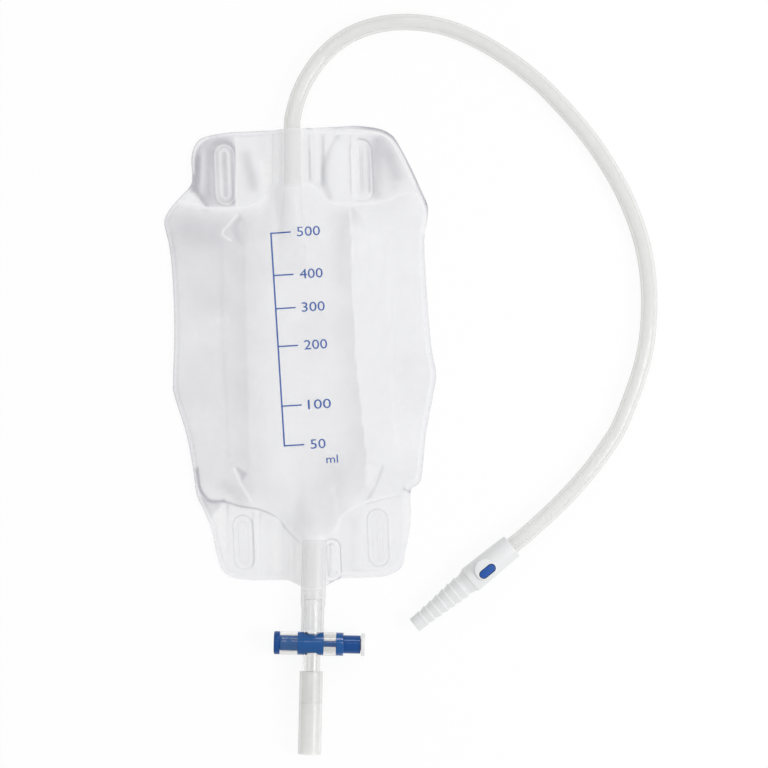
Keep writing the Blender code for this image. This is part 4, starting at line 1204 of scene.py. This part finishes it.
def connectorProfile():
    c = connector
    bore = inlet["radius"] + 0.06
    tip = -c["length"]
    shoulder = -c["body"]
    grow = (c["lastPeak"] - c["firstPeak"]) / (c["barbs"] - 1)
    profile = [(0.0, bore, 0.15), (0.0, c["rearRadius"], 0.9), (shoulder, c["frontRadius"], 0.2),
               (shoulder - 0.3, c["frontRadius"] - c["step"], 0.15)]
    for number in range(c["barbs"] - 1, -1, -1):
        peak = c["firstPeak"] + grow * number
        place = tip + c["collar"] + c["pitch"] * number
        if number == c["barbs"] - 1:
            profile.append((shoulder - c["cone"], peak - c["depth"], 0.5))
        profile += [(place + c["barbBack"], peak - c["depth"], 0.25), (place, peak, 0.15)]
    profile += [(tip + c["collar"] - 1.2, c["tipRadius"], 0.2), (tip, c["tipRadius"], 0.35),
                (tip, c["flow"], 0.3), (-c["socket"], c["flow"], 0.0), (-c["socket"], bore, 0.0)]
    return rounded(profile, 0.2, 3)


def stadium(halfLength, halfWidth, low, high, bevel, corners=20):
    # An upright prism with round ends and a rounded top edge, long way along X
    bm = bmesh.new()
    levels = [(low, 0.0), (high - bevel, 0.0)]
    levels += [(high - bevel + bevel * math.sin(a), bevel * (1 - math.cos(a)))
               for a in (math.pi / 8, math.pi / 4, 3 * math.pi / 8, math.pi / 2) if bevel > 0]
    loops = []
    for z, inset in levels:
        loop = []
        for end in (1.0, -1.0):
            for i in range(corners):
                angle = -math.pi / 2 + math.pi * i / (corners - 1)
                r = halfWidth - inset
                x = end * (halfLength - halfWidth + r * math.cos(angle))
                y = end * r * math.sin(angle)
                loop.append(bm.verts.new((x * mm, y * mm, z * mm)))
        loops.append(loop)
    for first, second in zip(loops, loops[1:]):
        bridge(bm, first, second)
    bm.faces.new(loops[0][::-1])
    bm.faces.new(loops[-1])
    return bm


def plasticPaint(name, tone, rough, spot=0.03):
    paint = Paint(name)
    soft = paint.cloud(6.0, 3.0)
    grain = paint.cloud(0.35, 2.0, 0.6)
    base = paint.mix(soft, colour(*(t * (1 - spot) for t in tone)),
                     colour(*(min(1.0, t * (1 + spot)) for t in tone)))
    return paint.coat(Base_Color=base, Roughness=rough + (grain - 0.5) * 0.12,
                      Normal=paint.bump(grain, 0.18, 0.015))


def makeConnector():
    c = connector
    matrix = connectorMatrix()
    body = meshOf("connectorBody", turned(connectorProfile(), 96))
    top = c["frontRadius"] + c["portRise"]
    floor = top - c["septumDepth"] - bag["gap"]
    base = inlet["radius"] + 2 * bag["gap"]
    boss = meshOf("boss", turned(rounded([(base, 0.0), (base, c["portRadius"], 0.0),
                                          (top, c["portRadius"], 0.35), (top, 0.0)], 0.3), 72),
                  Matrix.Rotation(-math.pi / 2, 4, "Y"))
    shift = (Matrix.Translation((-c["portBack"] * mm, 0.0, 0.0))
             @ Matrix.Rotation(math.radians(c["portRoll"]), 4, "X"))
    seat = Matrix.Translation((c["septumShift"][0] * mm, c["septumShift"][1] * mm, 0.0))
    boss.transform(shift)
    long, wide = (size / 2 for size in c["septum"])
    pocket = meshOf("pocket", stadium(long + bag["gap"], wide + bag["gap"], floor, top + 1.0, 0.0),
                    shift @ seat)
    body = applyBoolean(body, boss, "UNION")
    body = applyBoolean(body, pocket, "DIFFERENCE")
    body.transform(matrix)
    body.materials.clear()
    shell = addPiece("connectorBody", body, plasticPaint("whiteMoulding", c["white"], 0.42),
                     "connector_body", 32.0)
    plug = stadium(long, wide, floor + bag["gap"], top + c["proud"], c["septumEdge"])
    plug = meshOf("portSeptum", plug, matrix @ shift @ seat)
    septum = addPiece("portSeptum", plug, plasticPaint("blueSeptum", c["blue"], 0.35, 0.06),
                      "port_septum", 50.0)
    return [shell, septum]


# ---- non-return sleeve inside the pouch ----
nonReturnLook = {
    "tone": (0.90, 0.90, 0.92), "alpha": 0.03, "edge": 0.1, "rough": 0.3, "shine": 0.5, "bore": 0.9,
    "clearer": (),
}


def makeNonReturn():
    bm = bmesh.new()
    bore = inlet["radius"] + bag["gap"]
    sides = 48
    start = inlet["endY"] + inlet["grip"]
    flatMiddle = bag["film"] + bag["gap"] + inlet["flatHeight"] / 2
    wall = inlet["sleeveWall"]
    places = [(0.0, 0.0), (inlet["grip"] + bag["gap"], 0.0)]
    for k in range(1, 13):
        share = 0.25 + 0.75 * k / 12
        places.append((inlet["grip"] + inlet["taper"] * share, float(step(0.25, 1.0, share))))
    places.append((inlet["sleeveLength"], 1.0))
    rings = []
    for along, taper in places:
        y = start - along
        middle = sleeveAxisZ + (flatMiddle - sleeveAxisZ) * taper
        wide = bore + (inlet["flatWidth"] / 2 - wall - bore) * taper
        high = bore + (inlet["flatHeight"] / 2 - wall - bore) * taper
        skins = []
        for extra in (0.0, wall):
            turns = [2 * math.pi * k / sides for k in range(sides)]
            skins.append([bm.verts.new(((inletX(y) + (wide + extra) * math.cos(a)) * mm, y * mm,
                                        (middle + (high + extra) * math.sin(a)) * mm))
                          for a in turns])
        rings.append(skins)
    for first, second in zip(rings, rings[1:]):
        for skin in (0, 1):
            bridge(bm, first[skin], second[skin])
    for end in (rings[0], rings[-1]):
        bridge(bm, *end)
    mesh = meshOf("nonReturnSleeve", bm)
    paint = tubePaint("clearFilm", nonReturnLook)
    addPiece("nonReturnSleeve", mesh, paint, "non_return_valve", 50.0)


# ---- outlet: tube, slide valve and sleeve ----
valve = {
    "barrelRadius": outlet["valveRadius"], "barrelLength": 31.5, "stubRadius": 4.3, "stubBore": 2.7,
    "upperStub": 22.0, "lowerStub": 30.0, "spoolRadius": 4.55, "clearance": 0.2, "waist": 3.8,
    "neck": 1.5, "landFrom": -7.2, "landTo": 5.7, "ringFrom": 11.9, "stroke": 8.4, "button": 3.0,
    "capRadius": 5.6, "capThick": 2.0, "capPlug": 3.0, "capPlugLength": 4.5,
    "sleeveRadius": 5.75, "sleeveTop": 13.9, "sleeveLength": 41.2,
    "neckFrom": 19.5, "neckTaper": 2.0, "footFlare": 3.0,
    "skin": 5.1,                # past this radius a point is on the outside
    "wipe": 0.02,               # how far the lands press into the bore
    "blue": (0.004, 0.065, 0.26), "blueLitUnderBarrel": (0.003, 0.19, 0.66), "blueSpots": (0.0, 0.02, 0.12),
    "capWhite": (0.82, 0.82, 0.825),
    "barrelTone": (0.815, 0.815, 0.805), "stubTone": (0.84, 0.84, 0.835),
    "coveredPaintedLight": (0.98, 0.98, 0.98),
    # start and end of each stretch, counted up from the valve's middle
    "lowerStubFrom": (-4.2, -5.0), "upperStubFrom": (5.0, 6.0), "coveredFrom": (-13.5, -14.5),
    "stubInTube": (22.5, 21.0), "belowStub": (-30.5, -29.0),
}
stubWall = valve["stubRadius"] + bag["gap"]


def fromValve(stretch):
    return tuple(outlet["y"] + y for y in stretch)


outletLook = {
    "tone": (0.86, 0.86, 0.865), "alpha": 0.29, "edge": 0.3, "rough": 0.12, "shine": 0.6,
    "bore": stubWall / outlet["radius"], "less": 0.35,
    # clearer in the flange, over the stub and near the inner end: painted light against the shade
    # of the film and the stub
    "clearer": (((1, -bagTop - 5.0, -bagTop - 3.0),), ((1, *fromValve(valve["stubInTube"])),),
                ((1, outletEndY - 6.0, outletEndY),)),
}
sleeveLook = {
    "tone": (0.885, 0.885, 0.865), "alpha": 0.44, "edge": 0.25, "rough": 0.14, "shine": 0.7,
    "bore": stubWall / valve["sleeveRadius"], "less": 0.3,
    # clearer over the stub: painted light against the stub's shade
    "clearer": (((1, *fromValve(valve["belowStub"])),),),
}


def outletMatrix():
    return (Matrix.Translation((outlet["x"] * mm, outlet["y"] * mm, outletZ * mm))
            @ Matrix.Rotation(math.radians(outlet["turn"]), 4, "Z"))


def glassPaint(name):
    # Clear moulded plastic: greyer in the barrel and the bare lower stub, and nearly clear inside
    # the tubes, painted light so the stubs don't darken the tubes over them
    paint = Paint(name)
    grain = paint.cloud(1.5, 2.0)
    along = paint.axis(1)
    below, above, covered = (paint.ramp(along, *(y * mm for y in fromValve(valve[key])))
                             for key in ("lowerStubFrom", "upperStubFrom", "coveredFrom"))
    base = paint.mix(below, colour(*valve["barrelTone"]), colour(*valve["stubTone"]))
    # Painted light: the stubs inside the tubes are drawn nearly clear
    base = paint.mix(paint.math("MAXIMUM", above, covered), base, colour(*valve["coveredPaintedLight"]))
    return paint.coat(Base_Color=base, Roughness=0.03 + grain * 0.03, IOR=1.49,
                      Transmission_Weight=1.0, Specular_IOR_Level=0.12)


def spoolPaint(name, barrel):
    # Blue moulding; what lies under the clear barrel, wherever the spool stands, is drawn brighter:
    # painted light standing in for the light the barrel keeps from it
    paint = Paint(name)
    soft = paint.cloud(6.0, 3.0)
    grain = paint.cloud(0.35, 2.0, 0.6)
    across = paint.axis(0, barrel)
    half = valve["barrelLength"] / 2
    left, right = (paint.ramp(across, (end - 0.3) * mm, (end + 0.3) * mm)
                   for end in (outlet["x"] - half, outlet["x"] + half))
    under = left - right
    # Brighter blue under the barrel is painted light
    base = paint.mix(under, colour(*valve["blue"]), colour(*valve["blueLitUnderBarrel"]))
    base = paint.mix(soft * 0.12, base, colour(*valve["blueSpots"]))
    return paint.coat(Base_Color=base, Roughness=0.25 + (grain - 0.5) * 0.12,
                      Specular_IOR_Level=0.05, Normal=paint.bump(grain, 0.18, 0.015),
                      Coat_Weight=0.5 - under * 0.5, Coat_Roughness=0.1)


def makeOutlet():
    v = valve
    matrix = outletMatrix()
    alongY = Matrix.Rotation(math.pi / 2, 4, "Z")
    foot = v["barrelRadius"] + bag["gap"]
    top = foot + outlet["length"]
    profile = [(top, stubWall, 0.1), (top, outlet["radius"], 0.35),
               (v["neckFrom"], outlet["radius"], 1.5),
               (v["neckFrom"] - v["neckTaper"], outlet["neck"], 1.5),
               (foot + v["footFlare"], outlet["neck"], 1.5), (foot, outlet["radius"] - 0.3, 0.2),
               (foot, stubWall, 0.1)]
    tube = meshOf("outletTube", turned(rounded(profile, 0.3, 5), 96, v["skin"]), matrix @ alongY)
    paint = tubePaint("outletVinyl", outletLook)
    addPiece("outletTube", tube, paint, "outlet_tube", 50.0)
    half = v["barrelLength"] / 2
    barrel = meshOf("valveBarrel", rod(-half, half, v["barrelRadius"], 0.25, 128))
    stub = meshOf("stub", rod(-v["lowerStub"], v["upperStub"], v["stubRadius"], 0.4), alongY)
    bore = v["spoolRadius"] + v["clearance"]
    cutter = meshOf("cutter", rod(-half - 1, half + 1, bore, sides=128))
    passage = rod(-v["lowerStub"] - 1, v["upperStub"] + 1, v["stubBore"], sides=64)
    barrel = applyBoolean(barrel, stub, "UNION")
    barrel = applyBoolean(barrel, cutter, "DIFFERENCE")
    barrel = applyBoolean(barrel, meshOf("passage", passage, alongY), "DIFFERENCE")
    barrel.transform(matrix)
    barrel.materials.clear()
    paint = glassPaint("clearMoulding")
    housing = addPiece("valveBarrel", barrel, paint, "valve_barrel", 30.0)
    top = -v["sleeveTop"]
    foot = top - v["sleeveLength"]
    profile = [(top, stubWall, 0.1), (top, v["sleeveRadius"], 0.2), (foot, v["sleeveRadius"], 0.3),
               (foot, stubWall, 0.2)]
    sleeve = meshOf("outletSleeve", turned(rounded(profile, 0.2), 96, v["skin"]), matrix @ alongY)
    paint = tubePaint("sleeveVinyl", sleeveLook)
    addPiece("outletSleeve", sleeve, paint, "outlet_sleeve", 50.0)
    makeSpool(matrix, housing)


def makeSpool(matrix, housing):
    v = valve
    half = v["barrelLength"] / 2
    button = -half - bag["gap"]
    reach = half + v["stroke"] + bag["gap"]
    seal = v["spoolRadius"] + v["clearance"] + v["wipe"]
    plug = v["capPlug"] + bag["gap"]
    profile = [
        (button - v["button"], 0.0), (button - v["button"], v["barrelRadius"], 0.9),
        (button, v["barrelRadius"], 0.25), (button, v["waist"], 0.1),
        (v["landFrom"], v["waist"], 0.2), (v["landFrom"], seal, 0.1),
        (v["landTo"], seal, 0.1), (v["landTo"], v["neck"], 0.3),
        (v["ringFrom"], v["neck"], 0.3), (v["ringFrom"], seal, 0.1), (half - 0.4, seal, 0.1),
        (half - 0.4, v["spoolRadius"], 0.05), (reach - bag["gap"], v["spoolRadius"], 0.2),
        (reach - bag["gap"], plug, 0.05), (reach - v["capPlugLength"] - bag["gap"], plug, 0.0),
        (reach - v["capPlugLength"] - bag["gap"], 0.0),
    ]
    spool = meshOf("valveSpool", turned(rounded(profile, 0.1)), matrix)
    paint = spoolPaint("blueMoulding", housing)
    addPiece("valveSpool", spool, paint, "valve_spool", body="spool")
    profile = [(reach - v["capPlugLength"], 0.0), (reach - v["capPlugLength"], v["capPlug"], 0.2),
               (reach, v["capPlug"], 0.05), (reach, v["capRadius"], 0.3),
               (reach + v["capThick"], v["capRadius"], 0.5), (reach + v["capThick"], 0.0)]
    cap = meshOf("spoolEndCap", turned(rounded(profile, 0.2)), matrix)
    paint = plasticPaint("whiteCap", v["capWhite"], 0.35)
    addPiece("spoolEndCap", cap, paint, "spool_end_cap", body="spool")


# ---- all pieces ----
tube, tubeCentre = makeTube()
onTube = makeConnector()
makeScale(makeFilms())
makeNonReturn()
makeOutlet()
print("outlet and slide valve made")
